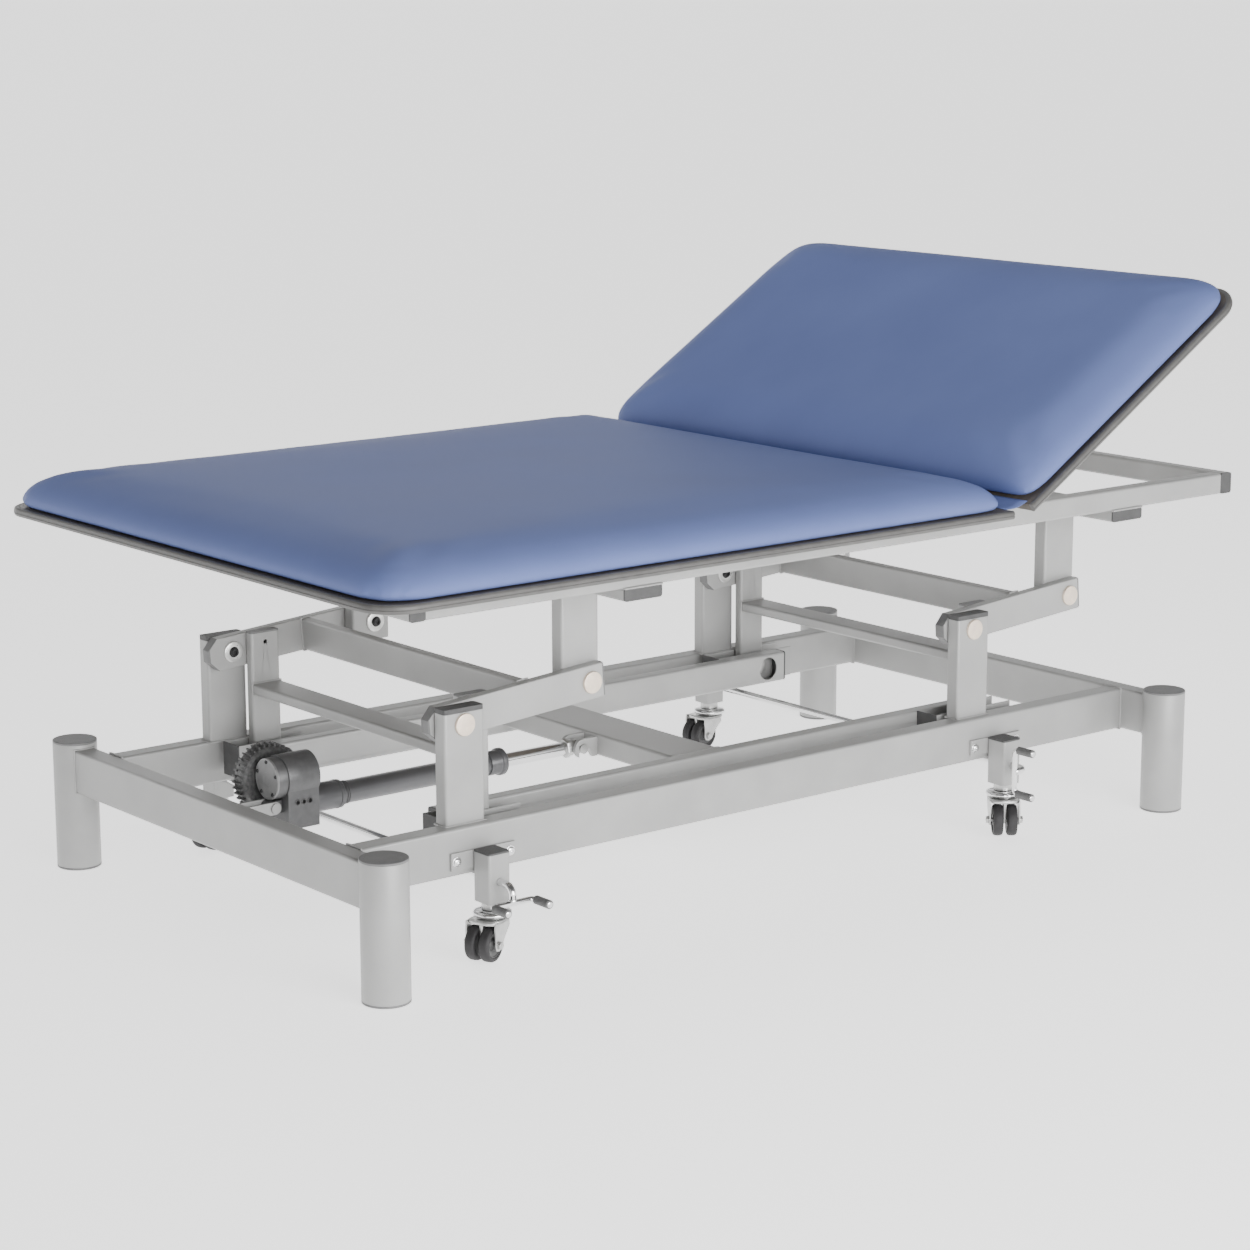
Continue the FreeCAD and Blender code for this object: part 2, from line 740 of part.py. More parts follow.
def lever_fork(end, x, tail):
    """An open-topped channel that holds the lower end of a lever, closed at the back by a cap."""
    wall = S.tube_wall
    bottom = LOWER_Z - S.bar_depth / 2
    outer = BAR_OUTER + S.fork_width
    length = tail + S.fork_front - S.cap_lip
    start = x - tail + S.cap_lip
    half = S.fork_width / 2
    floor = -S.bar_depth / 2
    side = S.bar_depth / 2
    body = DOC.addObject("PartDesign::Body", end + "_fork")
    sketch = new_sketch(body, "XY_Plane")
    draw_polygon(sketch, [
        (-half, floor), (half, floor), (half, side), (half - wall, side),
        (half - wall, floor + wall), (-half + wall, floor + wall), (-half + wall, side), (-half, side),
    ])
    pad(body, sketch, length)
    place(body, start, -(outer - half), LOWER_Z, facing="+X")
    hole = rod(end + "_fork_hole", (x, -BAR_OUTER + OVERCUT, LOWER_Z), "-Y", S.lever_pin,
               S.fork_width + OVERCUT * 2)
    size = (S.cap_lip, S.fork_width, S.bar_depth)
    cap = block(end + "_fork_cap", (start - S.cap_lip, -outer, bottom), size)
    return cut(body, hole), cap


def lever_pin(end, x):
    """Bolt of a lower pivot, with spacers that keep the lever in the middle of its fork."""
    shank = S.lever_pin / 2
    head = S.lever_pin_head / 2
    wall = S.tube_wall
    outer = BAR_OUTER + S.fork_width
    start = BAR_OUTER - wall
    inner_spacer = LEVER_INNER - BAR_OUTER - wall - S.washer_play
    outer_spacer = S.fork_width - wall * 2 - inner_spacer - S.arm_width - S.washer_play * 2
    lever_in = wall * 2 + inner_spacer
    lever_out = lever_in + S.arm_width + S.washer_play * 2
    inside = wall * 2
    outside = lever_out + outer_spacer
    grip = outer - start
    spacer = shank + wall
    body = turned(end + "_lever_pin", [
        (0, -S.lever_pin_head_depth), (head, -S.lever_pin_head_depth), (head, 0), (shank, 0),
        (shank, inside), (spacer, inside), (spacer, lever_in), (shank, lever_in),
        (shank, lever_out), (spacer, lever_out), (spacer, outside), (shank, outside),
        (shank, grip), (head, grip), (head, grip + S.lever_pin_head_depth / 2),
        (0, grip + S.lever_pin_head_depth),
    ])
    return place(body, x, -start, LOWER_Z, facing="-Y")


def build_push_tube():
    bottom = LOWER_Z - S.bar_depth / 2 + S.push_tube_rise
    middle = bottom + S.push_tube_depth / 2
    cross = tube("push_cross", S.push_tube_width, S.push_tube_depth, S.bar_inner_y * 2)
    place(cross, PUSH_FACE_X + S.push_tube_width / 2, -S.bar_inner_y, middle, facing="+Y")
    node("push_tube", cross)

    gap = NUT_RADIUS + S.washer_play
    nose = S.clevis_nose / 2
    low = -nose - OVERCUT
    roof = S.link_pin / 2 + S.running_play
    ears = []
    for side, sign in (("near", -1), ("far", 1)):
        inner = S.actuator_y + gap * sign
        start_y = inner if sign > 0 else inner - S.clevis_thickness
        web = block("clevis_web_" + side, (EYE_X, start_y, AXIS_Z - nose),
                    (S.eye_reach, S.clevis_thickness, S.clevis_nose))
        tip = rod("clevis_nose_" + side, (EYE_X, start_y, AXIS_Z), "+Y", S.clevis_nose,
                  S.clevis_thickness)
        way = plate("clevis_way_" + side, [
            (-S.slot_back, low), (S.slot_front, low), (S.slot_roof, roof), (-S.slot_back, roof),
        ], S.clevis_thickness * 2)
        place(way, EYE_X, start_y + S.clevis_thickness / 2, AXIS_Z)
        ears.append(cut(fuse(web, tip), way))
    node("rod_clevis", *ears)


def build_actuator():
    x, y, z = REAR_PIN_X, S.actuator_y, AXIS_Z
    half_lug = S.lug_width / 2
    bracket = []
    back = FOOT_LEGS + S.base_tube_width / 2
    for side, sign in (("near", -1), ("far", 1)):
        inner = y + (half_lug + S.washer_play) * sign
        start_y = inner if sign > 0 else inner - S.ear_thickness
        nose = rod("bracket_nose_" + side, (x, start_y, z), "+Y", S.lug_radius * 2, S.ear_thickness)
        web = block("bracket_web_" + side, (back, start_y, z - S.lug_radius),
                    (x - back, S.ear_thickness, S.lug_radius * 2))
        hole = rod("bracket_hole_" + side, (x, start_y - OVERCUT, z), "+Y", S.link_pin,
                   S.ear_thickness + OVERCUT * 2)
        bracket.append(cut(fuse(web, nose), hole))
    pin_half = half_lug + S.washer_play + S.ear_thickness
    pin = place(link_pin("rear_pin", pin_half), x, y, z, facing="-Y")
    node("actuator_bracket", *bracket, pin)

    box_start = x + S.gearbox_start
    near = y - S.gearbox_width / 2
    box = block("gearbox_block", (box_start, near, z - S.gearbox_bottom),
                (S.gearbox_length, S.gearbox_width, S.gearbox_bottom + S.motor_rise))
    lug_web = block("gearbox_lug_web", (x, y - half_lug, z - S.lug_radius),
                    (S.gearbox_start + OVERCUT, S.lug_width, S.lug_radius * 2))
    lug_nose = rod("gearbox_lug", (x, y - half_lug, z), "+Y", S.lug_radius * 2, S.lug_width)
    motor_bed = rod("gearbox_cradle", (box_start, y, z + S.motor_rise), "+X",
                    S.motor_diameter + S.tube_wall * 2, S.gearbox_length)
    core = rod("gearbox_motor_bore", (box_start - OVERCUT, y, z + S.motor_rise), "+X", S.motor_diameter,
               S.gearbox_length + OVERCUT * 2)
    lug_bore = rod("gearbox_pin_bore", (x, y - S.lug_width, z), "+Y", S.link_pin + S.running_play * 2,
                   S.lug_width * 2)
    casing = cut(fuse(box, motor_bed, lug_web, lug_nose), core, lug_bore)
    sockets = []
    pitch = S.gearbox_length / (S.control_socket_count + 2)
    for index in range(int(S.control_socket_count.number)):
        at = box_start + pitch * (index + 1.5)
        sockets.append(rod("socket_hole_%d" % index, (at, near - OVERCUT, z + S.control_socket), "+Y",
                           S.control_socket, S.control_socket_depth))
    node("actuator_gearbox", cut(casing, *sockets))

    motor_x = x + S.motor_start
    motor_z = z + S.motor_rise
    node("motor_housing", rod("motor_can", (motor_x, y, motor_z), "+X", S.motor_diameter, S.motor_length))
    build_motor_plate(motor_x, y, motor_z)
    build_drum(x + S.drum_at, y + S.drum_start, z + S.drum_rise)
    build_outer_tube(x, y, z)
    build_rod(x, y, z)


def link_pin(name, half):
    """A headed pin through a pair of ears, centred on its own origin."""
    radius = S.link_pin / 2
    head = radius + S.tube_wall
    lip = S.tube_wall
    top = half + S.washer_play
    return turned(name, [
        (0, -top - lip), (head, -top - lip), (head, -top), (radius, -top),
        (radius, top), (head, top), (head, top + lip), (0, top + lip),
    ])


def build_motor_plate(x, y, z):
    disc = rod("motor_disc", (x - S.motor_plate_depth, y, z), "+X", S.motor_diameter, S.motor_plate_depth)
    screws = []
    out = S.motor_diameter / 2 - S.motor_screw
    count = int(S.motor_screw_count.number)
    for index in range(count):
        angle = math.radians(90 + 360 * index / count)
        spot = (x - S.motor_plate_depth, y + out * math.cos(angle), z + out * math.sin(angle))
        screws.append(rod("motor_screw", spot, "-X", S.motor_screw, S.motor_screw_depth))
    node("motor_end_plate", disc, *screws)


def build_drum(x, y, z):
    """A round housing on a level axis, with two rows of cooling ribs round its rim."""
    radius = S.drum_diameter / 2
    core = radius - S.rib_depth
    edge = S.rib_depth
    body = turned("drum_core", [
        (0, 0), (core - edge, 0), (core, edge), (core, S.drum_width - edge),
        (core - edge, S.drum_width), (0, S.drum_width),
    ])
    place(body, x, y, z, facing="+Y")
    row = (S.drum_width - edge * 3) / 2
    pieces = [body]
    count = int(S.rib_count.number)
    for start in (edge, edge * 2 + row):
        for index in range(count):
            angle = 360.0 * index / count
            rib = DOC.addObject("Part::Box", "drum_rib")
            bind(rib, "Length", S.rib_depth * 2)
            bind(rib, "Width", row)
            bind(rib, "Height", S.rib_thickness)
            out = core - S.rib_depth
            turn = Rotation(Vector(0, 1, 0), -angle)
            cos_a, sin_a = math.cos(math.radians(angle)), math.sin(math.radians(angle))
            place(rib, x + out * cos_a + S.rib_thickness * (sin_a / 2), y + start,
                  z + out * sin_a - S.rib_thickness * (cos_a / 2), facing=turn)
            pieces.append(rib)
    node("ribbed_drum", fuse(*pieces))


def build_outer_tube(x, y, z):
    """The hollow tube that the rod slides in, with the sleeve at its root and the collar at its end."""
    start = S.gearbox_start + S.gearbox_length
    bore = S.rod_diameter / 2 + S.running_play
    sleeve, outer, collar = S.sleeve_diameter / 2, S.outer_tube / 2, S.collar_diameter / 2
    inside = outer - S.tube_wall
    edge = S.tube_wall / 2
    back = S.outer_tube_end - S.collar_length
    tube_body = turned("outer_tube", [
        (0, start), (sleeve, start), (sleeve, S.sleeve_end - edge), (sleeve - edge, S.sleeve_end),
        (outer, S.sleeve_end), (outer, back), (inside, back), (inside, S.sleeve_end), (0, S.sleeve_end),
    ])
    place(tube_body, x, y, z, facing="+X")
    node("actuator_outer_tube", tube_body)
    ring = S.collar_length / 3
    slim = collar - edge * 2
    front = S.outer_tube_end
    end_body = turned("rod_collar", [
        (bore, back), (slim, back), (slim, front - ring), (collar, front - ring + edge),
        (collar, front - edge), (collar - edge, front), (bore, front),
    ])
    place(end_body, x, y, z, facing="+X")
    node("actuator_collar", end_body)


def build_rod(x, y, z):
    reach = EYE_X - x
    shoulder = S.eye_radius * 2
    shaft = rod("rod_shaft", (x + S.rod_start, y, z), "+X", S.rod_diameter,
                reach - S.rod_start - shoulder)
    node("actuator_rod", shaft)
    nut = rod("eye_nut", (EYE_X - shoulder, y, z), "+X", NUT_RADIUS * 2, S.eye_radius)
    neck = block("eye_neck", (EYE_X - S.eye_radius - OVERCUT, y - S.eye_width / 2, z - S.eye_neck / 2),
                 (S.eye_radius, S.eye_width, S.eye_neck))
    ring = rod("eye_ring", (EYE_X, y - S.eye_width / 2, z), "+Y", S.eye_radius * 2, S.eye_width)
    barrel = rod("eye_spacers", (EYE_X, y - NUT_RADIUS, z), "+Y", S.eye_spacer, NUT_RADIUS * 2)
    hole = rod("eye_hole", (EYE_X, y - NUT_RADIUS - OVERCUT, z), "+Y", S.link_pin,
               NUT_RADIUS * 2 + OVERCUT * 2)
    pin_half = NUT_RADIUS + S.washer_play + S.clevis_thickness
    pin = place(link_pin("eye_pin", pin_half), EYE_X, y, z, facing="-Y")
    node("rod_eye", cut(fuse(nut, neck, ring, barrel), hole), pin)


def build_top_frame():
    posts, lifts, caps = [], [], []
    half = S.top_half_width
    lip = S.cap_lip
    post_bottom = UPPER_Z - S.upper_post_below
    post_y = -(UPPER_POST_OUTER - S.upper_post_depth / 2)
    lift_mid = S.lift_tube_bottom + S.lift_tube_depth / 2
    for end, pivot_x in UPPER_X.items():
        x = pivot_x - S.upper_post_shift
        height = S.lift_tube_bottom - post_bottom
        post = tube(end + "_upper_post", S.upper_post_width, S.upper_post_depth, height)
        place(post, x, post_y, post_bottom)
        hole = rod(end + "_upper_hole", (pivot_x, -UPPER_POST_OUTER - OVERCUT, UPPER_Z), "+Y", PIVOT_HOLE,
                   S.upper_post_depth + OVERCUT * 2)
        posts.append(cut(post, hole))
        lift = tube(end + "_lift_tube", S.lift_tube_width, S.lift_tube_depth, (half - lip) * 2)
        lifts.append(place(lift, x, -(half - lip), lift_mid, facing="+Y"))
        cap = end_cap(end + "_lift_cap", S.lift_tube_width, S.lift_tube_depth)
        caps.append(place(cap, x, -(half - lip), lift_mid, facing="-Y"))
    pair_node("upper_posts", *posts)
    node("lift_cross_tubes", *lifts)

    mid = TOP_RAIL_BOTTOM + S.top_rail_depth / 2
    width = S.top_rail_width
    rail = tube("top_rail", width, S.top_rail_depth, S.top_head_x - S.top_foot_x - width * 2)
    place(rail, S.top_foot_x + width, -(half - width / 2), mid, facing="+X")
    pair_node("top_rails", rail)
    ends = []
    for x in (S.top_foot_x + width / 2, S.top_head_x - width / 2):
        piece = tube("top_end_tube", width, S.top_rail_depth, (half - lip) * 2)
        ends.append(place(piece, x, -(half - lip), mid, facing="+Y"))
        cap = end_cap("top_end_cap", width, S.top_rail_depth)
        caps.append(place(cap, x, -(half - lip), mid, facing="-Y"))
    node("top_end_tubes", *ends)
    pair_node("top_frame_caps", *caps)
    build_hinge_frame_side()


def build_hinge_frame_side():
    """A cross tube under the fold and two upright plates that hold the hinge pins."""
    across = S.hinge_tube_depth
    inner = S.top_half_width - S.top_rail_width
    back = S.hinge_x - S.hinge_arm_depth - across
    cross = tube("hinge_cross", across, across, inner * 2)
    place(cross, back + across / 2, -inner, TOP_RAIL_BOTTOM + across / 2, facing="+Y")
    node("hinge_cross_tube", cross)
    reach = S.hinge_x - back - across
    half = S.hinge_pin
    web = block("hinge_plate_web", (back + across, -HINGE_Y, HINGE_Z - S.hinge_arm_depth),
                (reach, S.hinge_plate, S.hinge_arm_depth))
    eye = rod("hinge_plate_eye", (S.hinge_x, -HINGE_Y, HINGE_Z), "+Y", half * 2, S.hinge_plate)
    hole = rod("hinge_plate_hole", (S.hinge_x, -HINGE_Y - OVERCUT, HINGE_Z), "+Y",
               S.hinge_pin + S.running_play * 2, S.hinge_plate + OVERCUT * 2)
    over = block("hinge_plate_relief", (back, -HINGE_Y - OVERCUT, TOP_RAIL_TOP - S.washer_play),
                 (reach + across * 2, S.hinge_plate + OVERCUT * 2, half * 2))
    pair_node("hinge_frame_plates", cut(fuse(web, eye), hole, over))


def slab(name, length, half_width, thickness):
    """A flat slab from the fold at X = 0, with its far corners round in plan."""
    body = DOC.addObject("PartDesign::Body", name)
    sketch = new_sketch(body, "XY_Plane")
    draw_polygon(sketch, [(0, -half_width), (length, -half_width), (length, half_width), (0, half_width)])
    pad(body, sketch, thickness)
    far = length.number * 0.5
    upright = Vector(0, 0, 1)
    return round_edges(body, S.corner_radius,
                       lambda edge: along(edge, upright) and edge.CenterOfMass.x > far)


def build_section(end, fold_gap, length):
    """Board, edge trim and cushion of one mattress section, drawn flat from the hinge axis."""
    half = S.mattress_half_width
    reach = length - fold_gap
    board = slab(end + "_board_slab", reach - S.trim_width, half - S.trim_width, S.board_thickness)
    outer = slab(end + "_trim_slab", reach, half, S.board_thickness)
    flat_z = (0.0, S.board_thickness.number)

    def rim(edge):
        box = edge.BoundBox
        level = [z for z in flat_z if abs(box.ZMin - z) < 1e-4 and abs(box.ZMax - z) < 1e-4]
        return bool(level) and box.XMax > 1e-4

    round_edges(outer, S.trim_round, rim)
    core = slab(end + "_trim_core", reach - S.trim_width, half - S.trim_width, S.board_thickness)
    trim = cut(outer, core)
    return board, trim, cushion_solid(end, reach)


def cushion_solid(end, reach):
    """A foam block with rolled edges, leaning back at the fold so that the sections can close."""
    thick = S.cushion_thickness
    lean = thick * tangent(S.fold_lean)
    far = reach - S.cushion_inset
    half = S.mattress_half_width - S.cushion_inset
    body = DOC.addObject("PartDesign::Body", end + "_cushion_block")
    sketch = new_sketch(body, "XZ_Plane")
    draw_polygon(sketch, [(0, 0), (far, 0), (far, thick), (lean, thick)])
    pad(body, sketch, half * 2, both_ways=True)
    upright = Vector(0, 0, 1)
    middle = far.number / 2
    round_edges(body, S.corner_radius, lambda edge: along(edge, upright) and edge.CenterOfMass.x > middle)
    top = thick.number

    def crown(edge):
        return abs(edge.BoundBox.ZMin - top) < 1e-4 and abs(edge.BoundBox.ZMax - top) < 1e-4

    round_edges(body, S.cushion_round, crown)
    return body


def build_mattress():
    foot_length = S.hinge_x - S.foot_end_x
    pieces = build_section("foot", S.foot_fold_gap, foot_length)
    turn = Rotation(Vector(0, 0, 1), 180)
    for label, piece, rise in zip(("foot_board", "foot_trim", "foot_cushion"), pieces,
                                  (as_size(0), as_size(0), S.board_thickness)):
        place(piece, S.hinge_x - S.foot_fold_gap, 0, TOP_RAIL_TOP + rise, facing=turn)
        node(label, piece)

    pieces = build_section("head", S.head_fold_gap, S.head_length)
    angle = S.head_rest_angle
    lift = Rotation(Vector(0, -1, 0), angle.number)
    base = S.hinge_drop + S.head_seat_gap
    for label, piece, rise in zip(("head_board", "head_trim", "head_cushion"), pieces,
                                  (base, base, base + S.board_thickness)):
        x = S.hinge_x + S.head_fold_gap * cosine(angle) - rise * sine(angle)
        z = HINGE_Z + S.head_fold_gap * sine(angle) + rise * cosine(angle)
        place(piece, x, 0, z, facing=lift)
        node(label, piece)
    build_hinge_head_side(lift, base)


def build_hinge_head_side(lift, base):
    """Arms screwed under the head board, turning on pins in the frame's hinge plates."""
    plate_y = HINGE_Y - S.hinge_plate - S.washer_play
    half = S.hinge_pin
    eye = rod("hinge_arm_eye", (0, -plate_y, 0), "+Y", half * 2, S.hinge_plate)
    flange_y = S.hinge_arm_depth
    web = block("hinge_arm_web", (0, -plate_y, -half), (S.hinge_arm_reach, S.hinge_plate, half + base))
    flange = block("hinge_arm_flange", (S.head_fold_gap + OVERCUT, -plate_y, base - S.tube_wall),
                   (S.hinge_arm_reach - S.head_fold_gap - OVERCUT, flange_y, S.tube_wall))
    over = block("hinge_arm_relief", (-half * 2, -plate_y - OVERCUT, base - S.washer_play),
                 (half * 2 + S.head_fold_gap, S.hinge_plate + OVERCUT * 2, half * 2))
    hole = rod("hinge_arm_hole", (0, -plate_y - OVERCUT, 0), "+Y", S.hinge_pin,
               S.hinge_plate + OVERCUT * 2)
    arm = cut(fuse(web, eye, flange), over, hole)
    place(arm, S.hinge_x, 0, HINGE_Z, facing=lift)
    pin_length = S.hinge_plate * 2 + S.washer_play
    pin = rod("hinge_pin_shank", (S.hinge_x, -HINGE_Y - S.washer_play, HINGE_Z), "+Y", S.hinge_pin,
              pin_length + S.washer_play)
    pair_node("hinge_head_arms", arm, pin)


def build_caster_mounts():
    """Plates bolted to the side rails, each with a square housing for a caster stem."""
    mounts, caps, bolts = [], [], []
    half = S.housing_width / 2
    rail_face = S.rail_half_span
    for end, x in CASTER_X.items():
        housing = tube(end + "_housing", S.housing_width, S.housing_width, S.housing_height)
        place(housing, x, -S.caster_y, S.housing_bottom)
        low = S.plate_bolt_z - S.plate_height / 2
        flat = block(end + "_caster_plate", (x - S.plate_length / 2, -rail_face - S.plate_thickness, low),
                     (S.plate_length, S.plate_thickness, S.plate_height))
        shaft_hole = rod(end + "_shaft_hole", (x, -S.caster_y - S.housing_width, S.pedal_shaft_z), "+Y",
                         S.pedal_shaft + S.running_play * 2, S.housing_width * 2)
        for sign in (-1, 1):
            at = x + S.plate_bolt_span / 2 * sign
            head = S.plate_bolt_head / 2
            depth = S.plate_bolt_depth
            bevel = S.plate_bolt_bevel
            bolt = turned(end + "_plate_bolt", [
                (0, 0), (head, 0), (head, bevel), (head - bevel, depth), (0, depth),
            ])
            bolts.append(place(bolt, at, -rail_face - S.plate_thickness, S.plate_bolt_z, facing="-Y"))
        mounts.append(cut(fuse(flat, housing), shaft_hole))
        cap = end_cap(end + "_housing_cap", S.housing_width, S.housing_width, lip=S.housing_cap)
        caps.append(place(cap, x, -S.caster_y, S.housing_bottom + S.housing_height))
    pair_node("caster_housings", *mounts)
    return caps, bolts


def build_pedal(end):
    """A shaft across the base with a two-pegged pedal bar on its near end."""
    x, z = CASTER_X[end], S.pedal_shaft_z
    start = -S.pedal_y
    length = S.pedal_y + S.caster_y + S.housing_width / 2 + S.cap_lip
    shaft = rod(end + "_pedal_shaft", (x, start, z), "+Y", S.pedal_shaft, length)
    half = S.pedal_bar_length / 2
    thin = S.pedal_bar_thickness
    wide = S.pedal_bar_width
    across = end == "foot"
    if across:
        bar = block(end + "_pedal_bar", (x - half, start - thin, z - wide / 2), (half * 2, thin, wide))
        ends = [(x - half + wide / 2, z), (x + half - wide / 2, z)]
    else:
        bar = block(end + "_pedal_bar", (x - wide / 2, start - thin, z - half), (wide, thin, half * 2))
        ends = [(x, z - half + wide / 2), (x, z + half - wide / 2)]
    pegs = [rod(end + "_pedal_peg", (px, start, pz), "-Y", S.pedal_peg, S.pedal_peg_length + thin)
            for px, pz in ends]
    node(end + "_pedal", fuse(shaft, bar, *pegs))


def build_caster(end, side):
    """Stem, swivelling fork and twin wheels of one caster."""
    x = CASTER_X[end]
    y = -S.caster_y if side == "near" else S.caster_y
    heading = CASTER_HEADING[(end, side)]
    name = side + "_" + end
    cos_h, sin_h = math.cos(math.radians(heading)), math.sin(math.radians(heading))
    turn = Rotation(Vector(0, 0, 1), heading)
    disc = S.disc_diameter / 2
    disc_top = S.stem_bottom - S.washer_play
    lip = S.tube_wall / 2
    plate_body = turned(name + "_disc", [
        (0, S.disc_bottom), (disc - lip, S.disc_bottom), (disc, S.disc_bottom + lip),
        (disc, disc_top - lip), (disc - lip, disc_top), (0, disc_top),
    ])
    radius = S.wheel_diameter / 2
    inner = S.wheel_gap / 2 - S.washer_play
    crown = S.wheel_height + radius + S.wheel_clearance
    outer = S.wheel_gap / 2 + S.wheel_width + S.washer_play + S.fork_cheek
    reach = S.wheel_trail + S.fork_cheek_length / 2
    roof = block(name + "_fork_roof", (-S.axle_diameter, -outer, crown),
                 (reach + S.axle_diameter, outer * 2, S.disc_bottom - crown))
    cheeks = []
    low = S.wheel_height - S.axle_diameter
    cheek = S.fork_cheek
    for start, width in ((-outer, cheek), (outer - cheek, cheek), (-inner, inner * 2)):
        cheeks.append(block(name + "_cheek", (S.wheel_trail - S.fork_cheek_length / 2, start, low),
                            (S.fork_cheek_length, width, crown - low)))
    hole = rod(name + "_axle_hole", (S.wheel_trail, -outer - OVERCUT, S.wheel_height), "+Y",
               S.axle_diameter + S.running_play * 2, outer * 2 + OVERCUT * 2)
    fork = cut(fuse(plate_body, roof, *cheeks), hole)
    place(fork, x, y, 0, facing=turn)
    node(name + "_caster_fork", fork)

    width = S.wheel_width
    gap = S.wheel_gap / 2
    axle = S.axle_diameter / 2
    tread = S.tube_wall
    end_y = outer + S.tube_wall * 2
    nut = S.axle_diameter
    seat = outer + S.washer_play
    far_face = gap + width
    shoulder = radius - tread
    hub = radius - tread * 3
    spin = turned(name + "_wheels", [
        (0, -end_y), (nut, -end_y), (nut, -seat), (axle, -seat),
        (axle, -far_face), (hub, -far_face), (shoulder, -far_face + tread / 2),
        (radius, -far_face + tread), (radius, -gap - tread), (shoulder, -gap), (axle, -gap),
        (axle, gap), (shoulder, gap), (radius, gap + tread), (radius, far_face - tread),
        (shoulder, far_face - tread / 2), (hub, far_face), (axle, far_face),
        (axle, seat), (nut, seat), (nut, end_y), (0, end_y),
    ])
    axle_x = x + S.wheel_trail * cos_h
    axle_y = y + S.wheel_trail * sin_h
    place(spin, axle_x, axle_y, S.wheel_height, facing=turn * FACING["+Y"])
    node(name + "_caster_wheels", spin)


def build_stems(end):
    """Slotted stems that slide in the housings of one end and straddle the pedal shaft."""
    x = CASTER_X[end]
    radius = S.stem_diameter / 2
    slot = S.pedal_shaft + S.washer_play * 2
    stem = rod(end + "_stem", (x, -S.caster_y, S.stem_bottom), "+Z", S.stem_diameter,
               S.stem_top - S.stem_bottom)
    low = S.pedal_shaft_z - slot / 2
    way = block(end + "_stem_slot", (x - slot / 2, -S.caster_y - radius - OVERCUT, low),
                (slot, S.stem_diameter + OVERCUT * 2, slot + S.caster_stroke))
    pair_node(end + "_caster_stems", cut(stem, way))


build_legs()
build_base_frame()
post_caps, pivot_bolts = build_base_posts()
housing_caps, plate_bolts = build_caster_mounts()
pair_node("base_tube_caps", *post_caps, *housing_caps)
pair_node("base_bolts", *pivot_bolts, *plate_bolts)
for arm_end in ("foot", "head"):
    build_arm_frame(arm_end)
build_push_frame()
build_actuator()
build_top_frame()
build_mattress()
for caster_end in ("foot", "head"):
    build_pedal(caster_end)
    build_stems(caster_end)
    for caster_side in ("near", "far"):
        build_caster(caster_end, caster_side)

DOC.recompute()
faults = [item.Name for item in DOC.Objects if "Invalid" in item.State or "Error" in item.State]
for label, thing in NODES.items():
    if thing.Shape.isNull() or not thing.Shape.isValid() or not thing.Shape.Solids:
        faults.append(label)
if faults:
    raise RuntimeError("these pieces failed: " + ", ".join(faults))

os.makedirs("parts", exist_ok=True)
for label, thing in NODES.items():
    thing.Shape.exportStep("parts/" + label + ".step")
print("%d nodes written" % len(NODES))
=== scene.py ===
import json
import math
import bmesh
import bpy
from mathutils import Matrix, Vector, noise


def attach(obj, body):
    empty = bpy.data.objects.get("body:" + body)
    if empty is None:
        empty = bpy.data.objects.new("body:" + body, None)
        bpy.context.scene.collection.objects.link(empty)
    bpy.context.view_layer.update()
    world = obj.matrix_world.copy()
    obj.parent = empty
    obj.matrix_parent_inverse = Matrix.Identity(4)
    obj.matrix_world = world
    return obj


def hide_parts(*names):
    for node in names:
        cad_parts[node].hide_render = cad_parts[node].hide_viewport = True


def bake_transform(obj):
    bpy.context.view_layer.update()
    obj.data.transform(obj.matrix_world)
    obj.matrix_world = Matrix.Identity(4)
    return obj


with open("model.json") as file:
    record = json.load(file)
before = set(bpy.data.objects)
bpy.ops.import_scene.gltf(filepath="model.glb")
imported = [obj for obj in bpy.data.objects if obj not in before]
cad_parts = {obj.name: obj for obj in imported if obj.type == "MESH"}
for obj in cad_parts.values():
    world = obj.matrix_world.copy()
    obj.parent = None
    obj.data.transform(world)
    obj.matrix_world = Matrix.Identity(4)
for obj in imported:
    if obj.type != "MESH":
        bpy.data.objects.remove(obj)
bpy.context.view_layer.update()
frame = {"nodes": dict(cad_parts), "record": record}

NODES = frame["nodes"]
SLOT_OF = {part["node"]: part["material_slot"] for part in frame["record"]["subparts"]}


def joint_place(name):
    """Where a joint's axis passes, in metres."""
    joint = [j for j in frame["record"]["behaviour"]["joints"] if j["name"] == name][0]
    return Vector(joint["pos_m"])


# Materials

RELIEF_DEPTH = 0.0005


